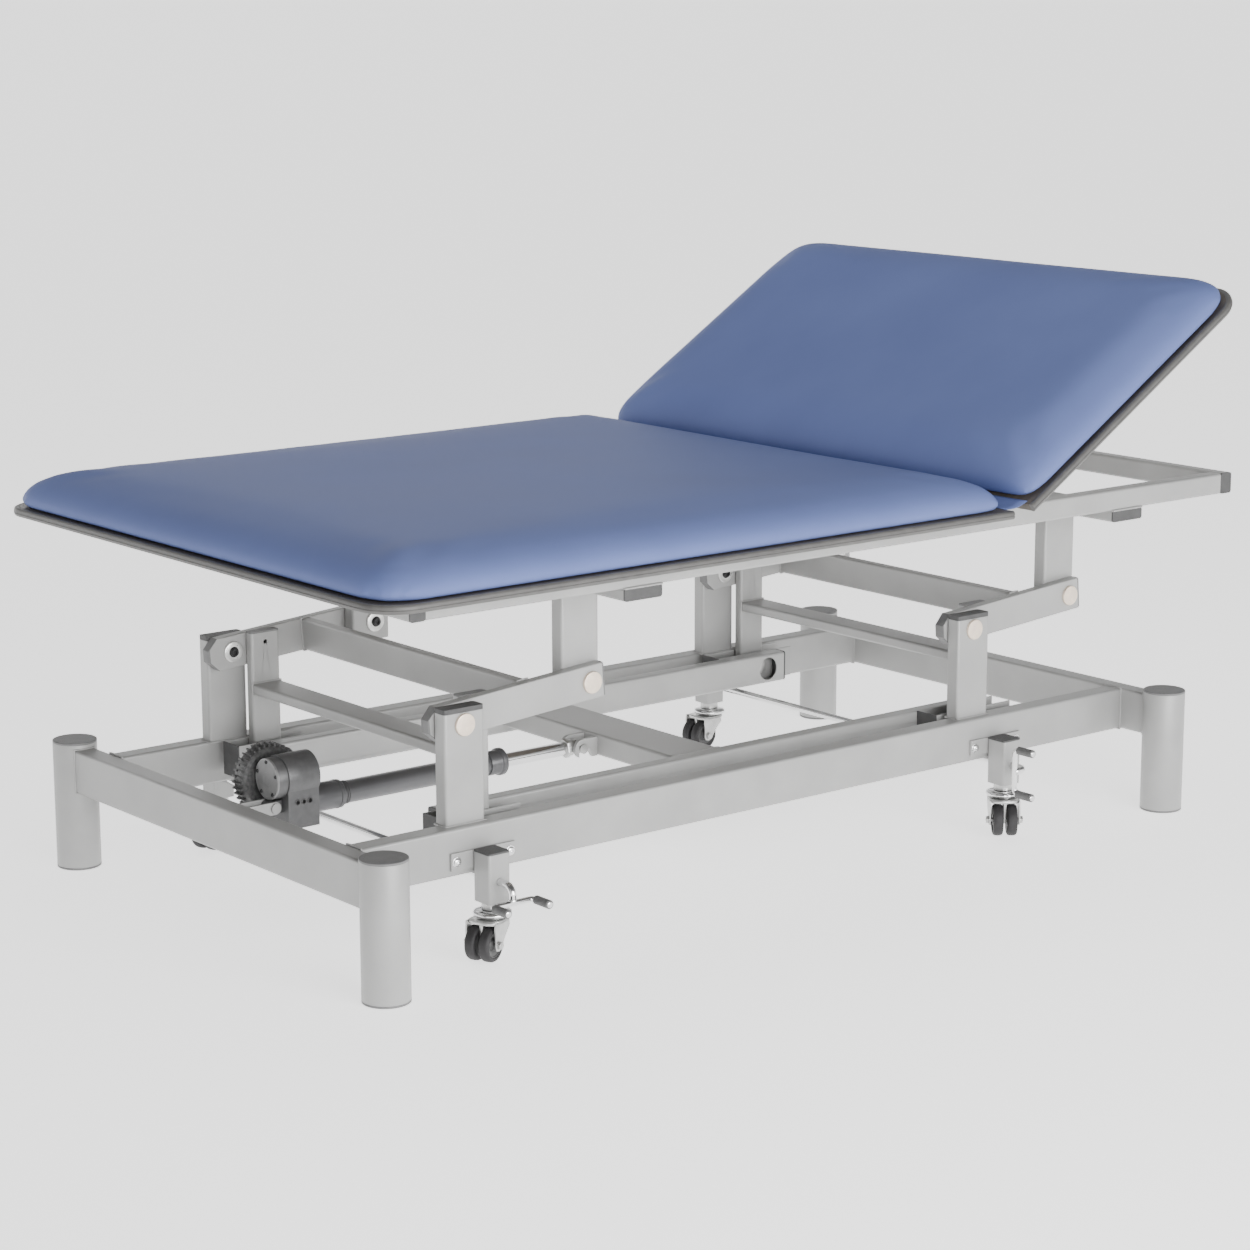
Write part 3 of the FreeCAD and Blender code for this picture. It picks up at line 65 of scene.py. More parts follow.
def surface(name, light, dark, rough, metal=0.0, grain=40.0, bump=0.1, bump_scale=900.0, coat=0.0,
            coat_rough=0.1, rough_vary=0.08, specular=0.5, stretch=(1, 1, 1)):
    """A procedural finish: two close colours in a cloudy mix, uneven gloss and a fine relief."""
    made = bpy.data.materials.new(name)
    made.use_nodes = True
    nodes, links = made.node_tree.nodes, made.node_tree.links
    shader = nodes["Principled BSDF"]
    place = nodes.new("ShaderNodeTexCoord")
    mapping = nodes.new("ShaderNodeMapping")
    mapping.inputs["Scale"].default_value = stretch
    links.new(place.outputs["Object"], mapping.inputs["Vector"])
    cloud = nodes.new("ShaderNodeTexNoise")
    cloud.inputs["Scale"].default_value = grain
    cloud.inputs["Detail"].default_value = 5.0
    links.new(mapping.outputs["Vector"], cloud.inputs["Vector"])
    ramp = nodes.new("ShaderNodeValToRGB")
    ramp.color_ramp.elements[0].position = 0.3
    ramp.color_ramp.elements[1].position = 0.7
    ramp.color_ramp.elements[0].color = (*dark, 1)
    ramp.color_ramp.elements[1].color = (*light, 1)
    links.new(cloud.outputs["Fac"], ramp.inputs["Fac"])
    links.new(ramp.outputs["Color"], shader.inputs["Base Color"])
    gloss = nodes.new("ShaderNodeMapRange")
    gloss.inputs["To Min"].default_value = max(rough - rough_vary, 0.02)
    gloss.inputs["To Max"].default_value = min(rough + rough_vary, 1.0)
    links.new(cloud.outputs["Fac"], gloss.inputs["Value"])
    links.new(gloss.outputs["Result"], shader.inputs["Roughness"])
    fine = nodes.new("ShaderNodeTexNoise")
    fine.inputs["Scale"].default_value = bump_scale
    fine.inputs["Detail"].default_value = 3.0
    links.new(mapping.outputs["Vector"], fine.inputs["Vector"])
    relief = nodes.new("ShaderNodeBump")
    relief.inputs["Strength"].default_value = bump
    relief.inputs["Distance"].default_value = RELIEF_DEPTH
    links.new(fine.outputs["Fac"], relief.inputs["Height"])
    links.new(relief.outputs["Normal"], shader.inputs["Normal"])
    shader.inputs["Metallic"].default_value = metal
    shader.inputs["Coat Weight"].default_value = coat
    shader.inputs["Coat Roughness"].default_value = coat_rough
    shader.inputs["Specular IOR Level"].default_value = specular
    return made


COAT = surface("powder_coat", (0.36, 0.36, 0.355), (0.315, 0.315, 0.311), 0.42, metal=0.15, grain=11, bump=0.22,
               bump_scale=1400, coat=0.1, coat_rough=0.3)
CAP = surface("moulded_cap", (0.065, 0.065, 0.065), (0.045, 0.045, 0.046), 0.55, grain=60, bump=0.3,
              bump_scale=2200)
ARM_CAP = surface("arm_cap_plastic", (0.16, 0.16, 0.16), (0.12, 0.12, 0.121), 0.5, grain=60, bump=0.3,
                  bump_scale=2200)
FOOT_PLASTIC = surface("leg_cap_plastic", (0.17, 0.17, 0.17), (0.13, 0.13, 0.132), 0.5, grain=50, bump=0.3,
                       bump_scale=2200)
ZINC = surface("yellow_zinc", (0.86, 0.74, 0.60), (0.74, 0.62, 0.52), 0.34, metal=0.6, grain=90, bump=0.15,
               bump_scale=1600)
WASHER = surface("bright_washer", (0.78, 0.78, 0.76), (0.66, 0.66, 0.65), 0.3, metal=0.7, grain=120, bump=0.1,
                 bump_scale=1800)
BLACK_SCREW = surface("black_oxide", (0.035, 0.035, 0.036), (0.02, 0.02, 0.021), 0.4, metal=0.5, grain=150,
                      bump=0.1)
CHROME = surface("polished_chrome", (0.80, 0.80, 0.80), (0.72, 0.72, 0.725), 0.1, metal=1.0, grain=30,
                 bump=0.02, rough_vary=0.03)
STEEL = surface("plated_steel", (0.55, 0.55, 0.54), (0.45, 0.45, 0.445), 0.3, metal=0.85, grain=70, bump=0.12)
DRIVE = surface("drive_casting", (0.115, 0.115, 0.117), (0.09, 0.09, 0.092), 0.42, metal=0.35, grain=80,
                bump=0.35, bump_scale=1100)
DRIVE_TUBE = surface("drive_tube", (0.12, 0.12, 0.125), (0.09, 0.09, 0.094), 0.35, metal=0.5, grain=30, bump=0.2,
                     bump_scale=1300, stretch=(0.3, 1, 1))
MOTOR_FACE = surface("motor_face", (0.24, 0.24, 0.24), (0.19, 0.19, 0.192), 0.4, metal=0.4, grain=60, bump=0.3)
DRUM = surface("ribbed_casting", (0.13, 0.13, 0.13), (0.06, 0.06, 0.06), 0.45, metal=0.55, grain=160, bump=0.5,
               bump_scale=900)
RUBBER = surface("wheel_rubber", (0.030, 0.029, 0.030), (0.019, 0.018, 0.019), 0.6, grain=60, bump=0.4,
                 bump_scale=1500, specular=0.35)
HUB = surface("wheel_hub", (0.07, 0.07, 0.07), (0.05, 0.05, 0.05), 0.45, grain=60, bump=0.2)
SLEEVE = surface("pedal_rubber", (0.13, 0.13, 0.13), (0.09, 0.09, 0.09), 0.6, grain=120, bump=0.5,
                 bump_scale=1400)
PLY = surface("sealed_plywood", (0.085, 0.072, 0.058), (0.055, 0.046, 0.036), 0.5, grain=9, bump=0.3, bump_scale=500,
              coat=0.1, stretch=(1, 14, 1))
TRIM = surface("edge_profile", (0.098, 0.096, 0.092), (0.072, 0.070, 0.068), 0.45, grain=40, bump=0.2,
               bump_scale=1500)
VINYL = surface("blue_vinyl", (0.128, 0.168, 0.372), (0.114, 0.150, 0.338), 0.56, grain=5, bump=0.22,
                bump_scale=1300, specular=0.12, rough_vary=0.05)

SLOT_FINISH = {
    "frame_coat": COAT, "cap_plastic": CAP, "zinc_plate": ZINC, "chrome": CHROME, "drive_grey": DRIVE,
    "drum_steel": DRUM, "wheel_rubber": RUBBER, "board": PLY, "edge_trim": TRIM, "vinyl_foam": VINYL,
}
NODE_FINISH = {
    "leg_end_caps": FOOT_PLASTIC, "actuator_outer_tube": DRIVE_TUBE, "actuator_collar": DRIVE_TUBE,
    "motor_end_plate": MOTOR_FACE, "rod_eye": STEEL, "rod_clevis": COAT, "hinge_head_arms": STEEL,
    "foot_caster_stems": STEEL, "head_caster_stems": STEEL, "actuator_bracket": COAT,
    "lever_pivot_bolts": STEEL, "foot_arm_caps": ARM_CAP, "head_arm_caps": ARM_CAP,
}
SOFT_EDGE = 0.0009
SAME_POINT = 0.00002
SHARP_ANGLE = 35


def dress(name):
    """Give a carried-over node its finish, and soften its sharp edges."""
    thing = NODES[name]
    finish = NODE_FINISH.get(name, SLOT_FINISH[SLOT_OF[name]])
    if not thing.material_slots:
        thing.data.materials.append(finish)
    for place in thing.material_slots:
        place.link = "OBJECT"
        place.material = finish
    if name in ("foot_trim", "head_trim"):
        return
    weld = thing.modifiers.new("join", "WELD")
    weld.merge_threshold = SAME_POINT
    edge = thing.modifiers.new("soft_edge", "BEVEL")
    edge.width = SOFT_EDGE
    edge.segments = 2
    edge.limit_method = "ANGLE"
    edge.angle_limit = math.radians(SHARP_ANGLE)
    edge.harden_normals = False
    edge.use_clamp_overlap = True


# Mesh helpers


def finish_piece(thing, material, body, smooth_angle=SHARP_ANGLE):
    """Give a new piece its finish, smooth shading, body and material slot."""
    thing.data.materials.clear()
    thing.data.materials.append(material)
    for face in thing.data.polygons:
        face.use_smooth = True
    thing.data.set_sharp_from_angle(angle=math.radians(smooth_angle))
    if body:
        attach(thing, body)
    return thing


def from_bmesh(name, mesh, material, body, smooth_angle=SHARP_ANGLE):
    """Turn working geometry into a finished piece."""
    bmesh.ops.recalc_face_normals(mesh, faces=mesh.faces)
    data = bpy.data.meshes.new(name)
    mesh.to_mesh(data)
    mesh.free()
    thing = bpy.data.objects.new(name, data)
    bpy.context.scene.collection.objects.link(thing)
    return finish_piece(thing, material, body, smooth_angle)


def frame_from(direction):
    """A matrix whose Z column is the direction."""
    z = Vector(direction).normalized()
    x = z.orthogonal().normalized()
    y = z.cross(x)
    return Matrix((x, y, z)).transposed()


def add_turned(mesh, outline, centre, direction, steps=48):
    """Revolve (radius, height) points round a direction through the centre."""
    turn = frame_from(direction)
    centre = Vector(centre)
    rings = []
    for radius, height in outline:
        if radius < 1e-6:
            rings.append([mesh.verts.new(centre + turn @ Vector((0, 0, height)))])
            continue
        rings.append([
            mesh.verts.new(centre + turn @ Vector((radius * math.cos(a), radius * math.sin(a), height)))
            for a in (math.tau * i / steps for i in range(steps))])
    for low, high in zip(rings, rings[1:]):
        for i in range(steps):
            j = (i + 1) % steps
            if len(low) == 1 and len(high) == 1:
                break
            if len(low) == 1:
                mesh.faces.new((low[0], high[i], high[j]))
            elif len(high) == 1:
                mesh.faces.new((low[j], low[i], high[0]))
            else:
                mesh.faces.new((low[i], low[j], high[j], high[i]))


def add_tube(mesh, path, radius, steps=20, radii=None):
    """A closed round bar that follows a path of points."""
    points = [Vector(p) for p in path]
    rings = []
    side = None
    for i, point in enumerate(points):
        ahead = (points[min(i + 1, len(points) - 1)] - points[max(i - 1, 0)]).normalized()
        side = ahead.orthogonal() if side is None else side - ahead * side.dot(ahead)
        side.normalize()
        up = ahead.cross(side)
        r = radii[i] if radii else radius
        rings.append([mesh.verts.new(point + (side * math.cos(a) + up * math.sin(a)) * r)
                      for a in (math.tau * k / steps for k in range(steps))])
    for low, high in zip(rings, rings[1:]):
        for i in range(steps):
            j = (i + 1) % steps
            mesh.faces.new((low[i], low[j], high[j], high[i]))
    mesh.faces.new(list(reversed(rings[0])))
    mesh.faces.new(rings[-1])


def add_prism(mesh, outline, low, high, place, bevel=0.0008):
    """An outline in two directions pushed out along the third; place maps (u, v, w) to the row frame."""
    part = bmesh.new()
    bottom = [part.verts.new((u, v, low)) for u, v in outline]
    top = [part.verts.new((u, v, high)) for u, v in outline]
    part.faces.new(list(reversed(bottom)))
    part.faces.new(top)
    for i in range(len(outline)):
        j = (i + 1) % len(outline)
        part.faces.new((bottom[i], bottom[j], top[j], top[i]))
    if bevel:
        rims = [e for e in part.edges if abs(e.verts[0].co.z - e.verts[1].co.z) < 1e-9]
        bmesh.ops.bevel(part, geom=rims, offset=bevel, segments=2, profile=0.5, affect="EDGES")
    for v in part.verts:
        v.co = place(*v.co)
    data = bpy.data.meshes.new("part")
    part.to_mesh(data)
    part.free()
    mesh.from_mesh(data)
    bpy.data.meshes.remove(data)


def hexagon(radius, turn=0.0):
    """The six corners of a nut, the first one turned by so many degrees."""
    return [(radius * math.cos(math.radians(60 * i + turn)), radius * math.sin(math.radians(60 * i + turn)))
            for i in range(6)]


def bent_path(corners, radius, arc_steps=8):
    """Straight runs with their corners rounded to a radius."""
    corners = [Vector(c) for c in corners]
    path = [corners[0]]
    for before, corner, after in zip(corners, corners[1:], corners[2:]):
        a, b = (before - corner).normalized(), (after - corner).normalized()
        half = a.angle(b) / 2
        back = radius / math.tan(half)
        centre = corner + (a + b).normalized() * (radius / math.sin(half))
        start, end = corner + a * back - centre, corner + b * back - centre
        sweep = start.angle(end)
        for k in range(arc_steps + 1):
            t = k / arc_steps
            path.append(centre + (start * math.sin((1 - t) * sweep) + end * math.sin(t * sweep)) / math.sin(sweep))
    path.append(corners[-1])
    return path


# Cushions

ROLL_WIDTH = 0.095
ROLL_STEPS = 14
CORNER_STEPS = 9
CUSHION_PITCH = 0.024
HALF_WIDTH = 0.602
CUSHION_HEIGHT = 0.0595
CUSHION_CROWN = 0.004
TUCK = 0.007
SIDE_FOOT = 0.009
CROWNED_ABOVE = 0.012


def side_points(start, end, pitch):
    """Even steps of about the pitch between two values, both ends included."""
    count = max(2, round(abs(end - start) / pitch))
    return [start + (end - start) * i / count for i in range(count + 1)]


def cushion_mesh(name, length, corner_powers):
    """A crowned cushion over X 0..length and Y +-HALF_WIDTH, whose rolled rim closes under at the bottom."""
    mesh = bmesh.new()
    w = ROLL_WIDTH
    xs = side_points(w, length - w, CUSHION_PITCH)
    ys = side_points(-HALF_WIDTH + w, HALF_WIDTH - w, CUSHION_PITCH)
    arc = CORNER_STEPS

    def crown(x, y):
        u, v = (2 * x / length - 1), y / HALF_WIDTH
        return CUSHION_CROWN * max(0, 1 - u ** 4) * max(0, 1 - v ** 4)

    corners = [(xs[-1], ys[-1], 0), (xs[0], ys[-1], 90), (xs[0], ys[0], 180), (xs[-1], ys[0], 270)]

    def ring(u, z, inward=0.0):
        """One closed ring at a share u of the roll's width out from the flat top."""
        size = w * u - inward
        out = []
        for number, (cx, cy, start) in enumerate(corners):
            power = corner_powers[number]
            for k in range(arc + 1):
                a = math.radians(90 * k / arc)
                c, s = math.cos(a), math.sin(a)
                reach = (abs(c) ** power + abs(s) ** power) ** (-1 / power)
                turn = math.radians(start)
                dx, dy = size * reach * c, size * reach * s
                px = cx + dx * math.cos(turn) - dy * math.sin(turn)
                py = cy + dx * math.sin(turn) + dy * math.cos(turn)
                out.append((px, py))
            if number == 0:
                out += [(x, cy + size) for x in reversed(xs[1:-1])]
            elif number == 1:
                out += [(cx - size, y) for y in reversed(ys[1:-1])]
            elif number == 2:
                out += [(x, cy - size) for x in xs[1:-1]]
            else:
                out += [(cx + size, y) for y in ys[1:-1]]
        return [mesh.verts.new((x, y, z + (crown(x, y) if z > CROWNED_ABOVE else 0))) for x, y in out]

    rings = [ring(1.0, 0.0, TUCK), ring(1.0, 0.0015, TUCK * 0.45), ring(1.0, 0.005, TUCK * 0.1)]
    for k in range(0, ROLL_STEPS):
        angle = math.pi / 2 * k / ROLL_STEPS
        rings.append(ring(math.cos(angle), SIDE_FOOT + (CUSHION_HEIGHT - SIDE_FOOT) * math.sin(angle)))
    for low, high in zip(rings, rings[1:]):
        for i in range(len(low)):
            j = (i + 1) % len(low)
            mesh.faces.new((low[i], low[j], high[j], high[i]))
    for outer, height in ((rings[-1], CUSHION_HEIGHT), (rings[0], 0.0)):
        grid = [[mesh.verts.new((x, y, height + (crown(x, y) if height else 0))) for y in ys] for x in xs]
        for i in range(len(xs) - 1):
            for j in range(len(ys) - 1):
                mesh.faces.new((grid[i][j], grid[i + 1][j], grid[i + 1][j + 1], grid[i][j + 1]))
        i, j = len(xs) - 1, len(ys) - 1
        rim = [grid[i][j]] * (arc + 1) + [grid[k][j] for k in range(i - 1, 0, -1)]
        rim += [grid[0][j]] * (arc + 1) + [grid[0][k] for k in range(j - 1, 0, -1)]
        rim += [grid[0][0]] * (arc + 1) + [grid[k][0] for k in range(1, i)]
        rim += [grid[i][0]] * (arc + 1) + [grid[i][k] for k in range(1, j)]
        for k in range(len(outer)):
            n = (k + 1) % len(outer)
            corner = [outer[k], outer[n]] + ([rim[n], rim[k]] if rim[k] is not rim[n] else [rim[k]])
            mesh.faces.new(corner)
    bmesh.ops.recalc_face_normals(mesh, faces=mesh.faces)
    data = bpy.data.meshes.new(name)
    mesh.to_mesh(data)
    mesh.free()
    thing = bpy.data.objects.new(name, data)
    bpy.context.scene.collection.objects.link(thing)
    return thing


PUFF_CAP = 0.005
PUFF_VOXEL = 0.011
PUFF_PRESSURE = 4.0
PUFF_FRAMES = 20
HELD_BELOW = 0.008


def puff(thing):
    """Inflate the cushion a little with a cloth simulation, and keep the result as its mesh."""
    remesh = thing.modifiers.new("remesh", "REMESH")
    remesh.mode = "VOXEL"
    remesh.voxel_size = PUFF_VOXEL
    bake(thing)
    start = [v.co.copy() for v in thing.data.vertices]
    held = thing.vertex_groups.new(name="held")
    for v in thing.data.vertices:
        if v.co.z < HELD_BELOW:
            held.add([v.index], 1.0, "REPLACE")
    cloth = thing.modifiers.new("cloth", "CLOTH")
    cloth.settings.use_pressure = True
    cloth.settings.uniform_pressure_force = PUFF_PRESSURE
    cloth.settings.effector_weights.gravity = 0.0
    cloth.settings.vertex_group_mass = "held"
    cloth.settings.quality = 5
    cloth.point_cache.frame_start = 1
    cloth.point_cache.frame_end = PUFF_FRAMES
    scene = bpy.context.scene
    for number in range(1, PUFF_FRAMES + 1):
        scene.frame_set(number)
    shaped = thing.evaluated_get(bpy.context.evaluated_depsgraph_get()).to_mesh()
    moved = [v.co.copy() for v in shaped.vertices]
    thing.modifiers.remove(cloth)
    scene.frame_set(1)
    for v, old, new in zip(thing.data.vertices, start, moved):
        step = new - old
        if step.length > PUFF_CAP:
            step *= PUFF_CAP / step.length
        if old.z < HELD_BELOW:
            step = Vector((0, 0, 0))
        v.co = old + step
        v.co.z = max(v.co.z, 0.0)
    thing.vertex_groups.clear()
    smooth = thing.modifiers.new("smooth", "CORRECTIVE_SMOOTH")
    smooth.iterations = 6
    smooth.use_only_smooth = True
    finer = thing.modifiers.new("finer", "SUBSURF")
    finer.levels = finer.render_levels = 1
    bake(thing)


def bake(thing):
    """Apply every modifier of a piece to its mesh."""
    shown = thing.evaluated_get(bpy.context.evaluated_depsgraph_get())
    data = bpy.data.meshes.new_from_object(shown)
    old = thing.data
    thing.modifiers.clear()
    thing.data = data
    bpy.data.meshes.remove(old)


def ripple(thing):
    """Faint tension waves of stretched vinyl: low swells along the rim and over the top."""
    for v in thing.data.vertices:
        if v.co.z < CROWNED_ABOVE:
            continue
        p = v.co
        swell = noise.noise(Vector((p.x * 3.1, p.y * 3.1, 1.7))) * 0.0009
        edge = max(0.0, 1 - (HALF_WIDTH - abs(p.y)) / 0.16)
        pull = noise.noise(Vector((p.x * 16.0, p.y * 2.0, 4.2))) * 0.0005 * edge
        p.z += swell + pull


HINGE = joint_place("head_section_tilt")
REST_TILT = math.radians(32.0)
BOARD_TOP = 0.660
FOOT_FOLD_X = HINGE.x - 0.040
FOOT_END_X = -1.0145
FOOT_BOARD_LENGTH = FOOT_FOLD_X - FOOT_END_X
HEAD_FOLD = 0.016
HEAD_BOARD_LENGTH = 0.668 - HEAD_FOLD
CUSHION_INSET = 0.004
CUSHION_LIFT = 0.0004
HEAD_BOARD_TOP = 0.0175
HEAD_TURN = Matrix.Rotation(-REST_TILT, 3, "Y")


def on_head(a, y, c):
    """A point of the head section: a along it from the hinge, c above the hinge axis."""
    return HINGE + HEAD_TURN @ Vector((a, y, c))


OUTER, FOLD = 2.7, 5.0
CORNER_POWERS = (OUTER, FOLD, FOLD, OUTER)
CUSHIONS = {}
for end, length in (("foot", FOOT_BOARD_LENGTH - CUSHION_INSET), ("head", HEAD_BOARD_LENGTH - CUSHION_INSET)):
    cushion = cushion_mesh(end + "_section_cushion", length, CORNER_POWERS)
    puff(cushion)
    ripple(cushion)
    CUSHIONS[end] = cushion
for v in CUSHIONS["foot"].data.vertices:
    v.co = Vector((FOOT_FOLD_X - v.co.x, -v.co.y, BOARD_TOP + CUSHION_LIFT + v.co.z))
for v in CUSHIONS["head"].data.vertices:
    v.co = on_head(HEAD_FOLD + v.co.x, v.co.y, HEAD_BOARD_TOP + CUSHION_LIFT + v.co.z)
for end, body in (("foot", "top_frame"), ("head", "head_section")):
    cushion = CUSHIONS[end]
    finish_piece(cushion, VINYL, body, 180)
    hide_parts(end + "_cushion")


BOARD = 0.015
BOARD_HALF = 0.606
TRIM_WIDTH = 0.010
TRIM_LAP = 0.0002
CORNER = 0.068


def plan_outline(length, half, radius, arc_steps=14, pitch=0.03):
    """Half a rounded rectangle: from the fold round the two far corners and back to the fold."""
    points = [(x, -half) for x in side_points(0, length - radius, pitch)[:-1]]
    for cy, start in ((-half + radius, -90), (half - radius, 0)):
        for k in range(arc_steps + 1):
            a = math.radians(start + 90 * k / arc_steps)
            points.append((length - radius + radius * math.cos(a), cy + radius * math.sin(a)))
    points += [(x, half) for x in reversed(side_points(0, length - radius, pitch)[:-1])]
    return points


def offset_outline(points, distance):
    """The same open outline moved inwards."""
    moved = []
    for i, p in enumerate(points):
        before, after = Vector(points[max(i - 1, 0)]), Vector(points[min(i + 1, len(points) - 1)])
        way = (after - before).normalized()
        moved.append((p[0] - way.y * distance, p[1] + way.x * distance))
    return moved


def build_section(end, body, length, place):
    """Board and edge trim of a mattress section; place maps its own directions to the row frame."""
    outline = plan_outline(length, BOARD_HALF, CORNER)
    board = bmesh.new()
    add_prism(board, offset_outline(outline, TRIM_WIDTH), 0.0, BOARD, place)
    part = from_bmesh(end + "_section_board", board, PLY, body)
    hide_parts(end + "_board")
    profile = [(TRIM_WIDTH - TRIM_LAP, 0.0), (0.0045, 0.0), (0.0018, 0.0012), (0.0004, 0.0036), (0.0, 0.0060),
               (0.0009, 0.0066), (0.0009, 0.0074), (0.0, 0.0080), (0.0004, 0.0112), (0.0018, 0.0138),
               (0.0045, 0.0150), (0.0075, 0.0150), (TRIM_WIDTH - TRIM_LAP, 0.0146)]
    trim = bmesh.new()
    rows = []
    for inward, height in profile:
        ring = offset_outline(outline, inward)
        rows.append([trim.verts.new(place(u, v, height)) for u, v in ring])
    for low, high in zip(rows, rows[1:] + rows[:1]):
        for i in range(len(outline) - 1):
            trim.faces.new((low[i], low[i + 1], high[i + 1], high[i]))
    trim.faces.new([row[0] for row in rows])
    trim.faces.new([row[-1] for row in reversed(rows)])
    part = from_bmesh(end + "_section_trim", trim, TRIM, body, 40)
    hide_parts(end + "_trim")


build_section("foot", "top_frame", FOOT_BOARD_LENGTH,
              lambda u, v, w: Vector((FOOT_FOLD_X - u, -v, BOARD_TOP - BOARD + w)))
build_section("head", "head_section", HEAD_BOARD_LENGTH,
              lambda u, v, w: on_head(HEAD_FOLD + u, v, HEAD_BOARD_TOP - BOARD + w))


def build_fold_strip():
    """The strip of vinyl that bridges the fold between the two boards."""
    half, sag = 0.588, 0.004
    across, along = 60, 14
    start = Vector((FOOT_FOLD_X - 0.004, 0, BOARD_TOP + 0.0012))
    end = on_head(HEAD_FOLD + 0.006, 0, 0.0188)
    mesh = bmesh.new()
    rows = []
    for i in range(along + 1):
        t = i / along
        row = []
        for j in range(across + 1):
            y = -half + 2 * half * j / across
            wave = noise.noise(Vector((t * 2.0, y * 9.0, 0.3))) * 0.0006 * math.sin(math.pi * t)
            p = start.lerp(end, t)
            row.append(mesh.verts.new((p.x, y, p.z - sag * math.sin(math.pi * t) + wave)))
        rows.append(row)
    for low, high in zip(rows, rows[1:]):
        for j in range(across):
            mesh.faces.new((low[j], low[j + 1], high[j + 1], high[j]))
    strip = from_bmesh("fold_strip", mesh, VINYL, None, 180)
    thick = strip.modifiers.new("thick", "SOLIDIFY")
    thick.thickness = 0.0009
    thick.offset = 0
    bake(strip)
    strip.data.materials.clear()
    strip.data.materials.append(VINYL)
    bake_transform(strip)


build_fold_strip()

# Bolts

POST_FACES = (0.331, 0.382)
ARM_FACES = (0.300, 0.351)
PLATE_SCREW_STEP = 0.0545
PLATE_SCREW_Y = 0.405
PLATE_SCREW_Z = 0.171


def build_bolts():
    """Pivot heads, washers, socket screws and the button screws of the caster plates."""
    heads, washers, screws, buttons = bmesh.new(), bmesh.new(), bmesh.new(), bmesh.new()
    for pivot in (joint_place("lift"), joint_place("head_arm_swing")):
        for side in (-1, 1):
            pivot_pieces(heads, washers, screws, pivot.x, pivot.z, POST_FACES, side)
    for end in ("foot", "head"):
        x = joint_place(end + "_pedal_turn").x
        for side in (-1, 1):
            for step in (-PLATE_SCREW_STEP, PLATE_SCREW_STEP):
                seat = Vector((x + step, PLATE_SCREW_Y * side, PLATE_SCREW_Z))
                add_turned(buttons, [(0.0, 0.0), (0.0085, 0.0), (0.0085, 0.0008), (0.007, 0.001), (0.007, 0.002),
                                     (0.0066, 0.0036), (0.005, 0.0048), (0.003, 0.0052), (0.0026, 0.0052),
                                     (0.0022, 0.0028), (0.0, 0.0028)], seat, (0, side, 0), 32)
    parts = [
        from_bmesh("pivot_heads", heads, ZINC, "base"),
        from_bmesh("pivot_washers", washers, WASHER, "base"),
        from_bmesh("pivot_socket_screws", screws, BLACK_SCREW, "base"),
        from_bmesh("caster_plate_screws", buttons, CHROME, "base"),
    ]
    for part in parts:
        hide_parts("base_bolts")
    for end in ("foot", "head"):
        heads, washers, screws = bmesh.new(), bmesh.new(), bmesh.new()
        pivot = joint_place("top_frame_pivot")
        shift = joint_place("head_arm_swing").x - joint_place("lift").x
        x = pivot.x + (shift if end == "head" else 0)
        for side in (-1, 1):
            pivot_pieces(heads, washers, screws, x, pivot.z, ARM_FACES, side)
        body = end + "_arm_frame"
        for name, mesh, material in (("pivot_heads", heads, ZINC), ("pivot_washers", washers, WASHER),
                                     ("pivot_socket_screws", screws, BLACK_SCREW)):
            part = from_bmesh(end + "_upper_" + name, mesh, material, body)
            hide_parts(end + "_upper_pivot_bolts")


def pivot_pieces(heads, washers, screws, x, z, faces, side):
    """A pivot's head and shank from its outer face, and its washer and socket screw on its inner face."""
    inner_y, outer_y = faces[0] * side, faces[1] * side
    out = Vector((0, side, 0))
    add_turned(heads, [(0, -0.001), (0.010, -0.001), (0.010, 0.0), (0.019, 0.0), (0.0192, 0.0034),
                       (0.0184, 0.0046), (0.0168, 0.005), (0.0, 0.005)], (x, outer_y, z), out, 56)
    add_turned(heads, [(0.0095, 0.0), (0.0095, abs(outer_y - inner_y))], (x, inner_y, z), out, 40)
    inward = -out
    add_turned(washers, [(0.009, 0.0003), (0.019, 0.0003), (0.0192, 0.0012), (0.0186, 0.0036),
                         (0.0176, 0.0042), (0.0095, 0.0042)], (x, inner_y, z), inward, 56)
    add_turned(screws, [(0.0095, 0.0038), (0.0098, 0.0046), (0.0084, 0.0052), (0.008, 0.0056), (0.008, 0.0084),
                        (0.0074, 0.0092), (0.0046, 0.0092), (0.004, 0.0086), (0.0038, 0.0062), (0.0, 0.0062)],
               (x, inner_y, z), inward, 36)


build_bolts()

# Pedals

PEDAL_Y = -0.483
SHAFT_END_Y = 0.452
CRANK = 0.028
HALF_BAR = 0.042
SHAFT_RADIUS = 0.0065
BAR_RADIUS = 0.005
TIP_REACH = 0.046


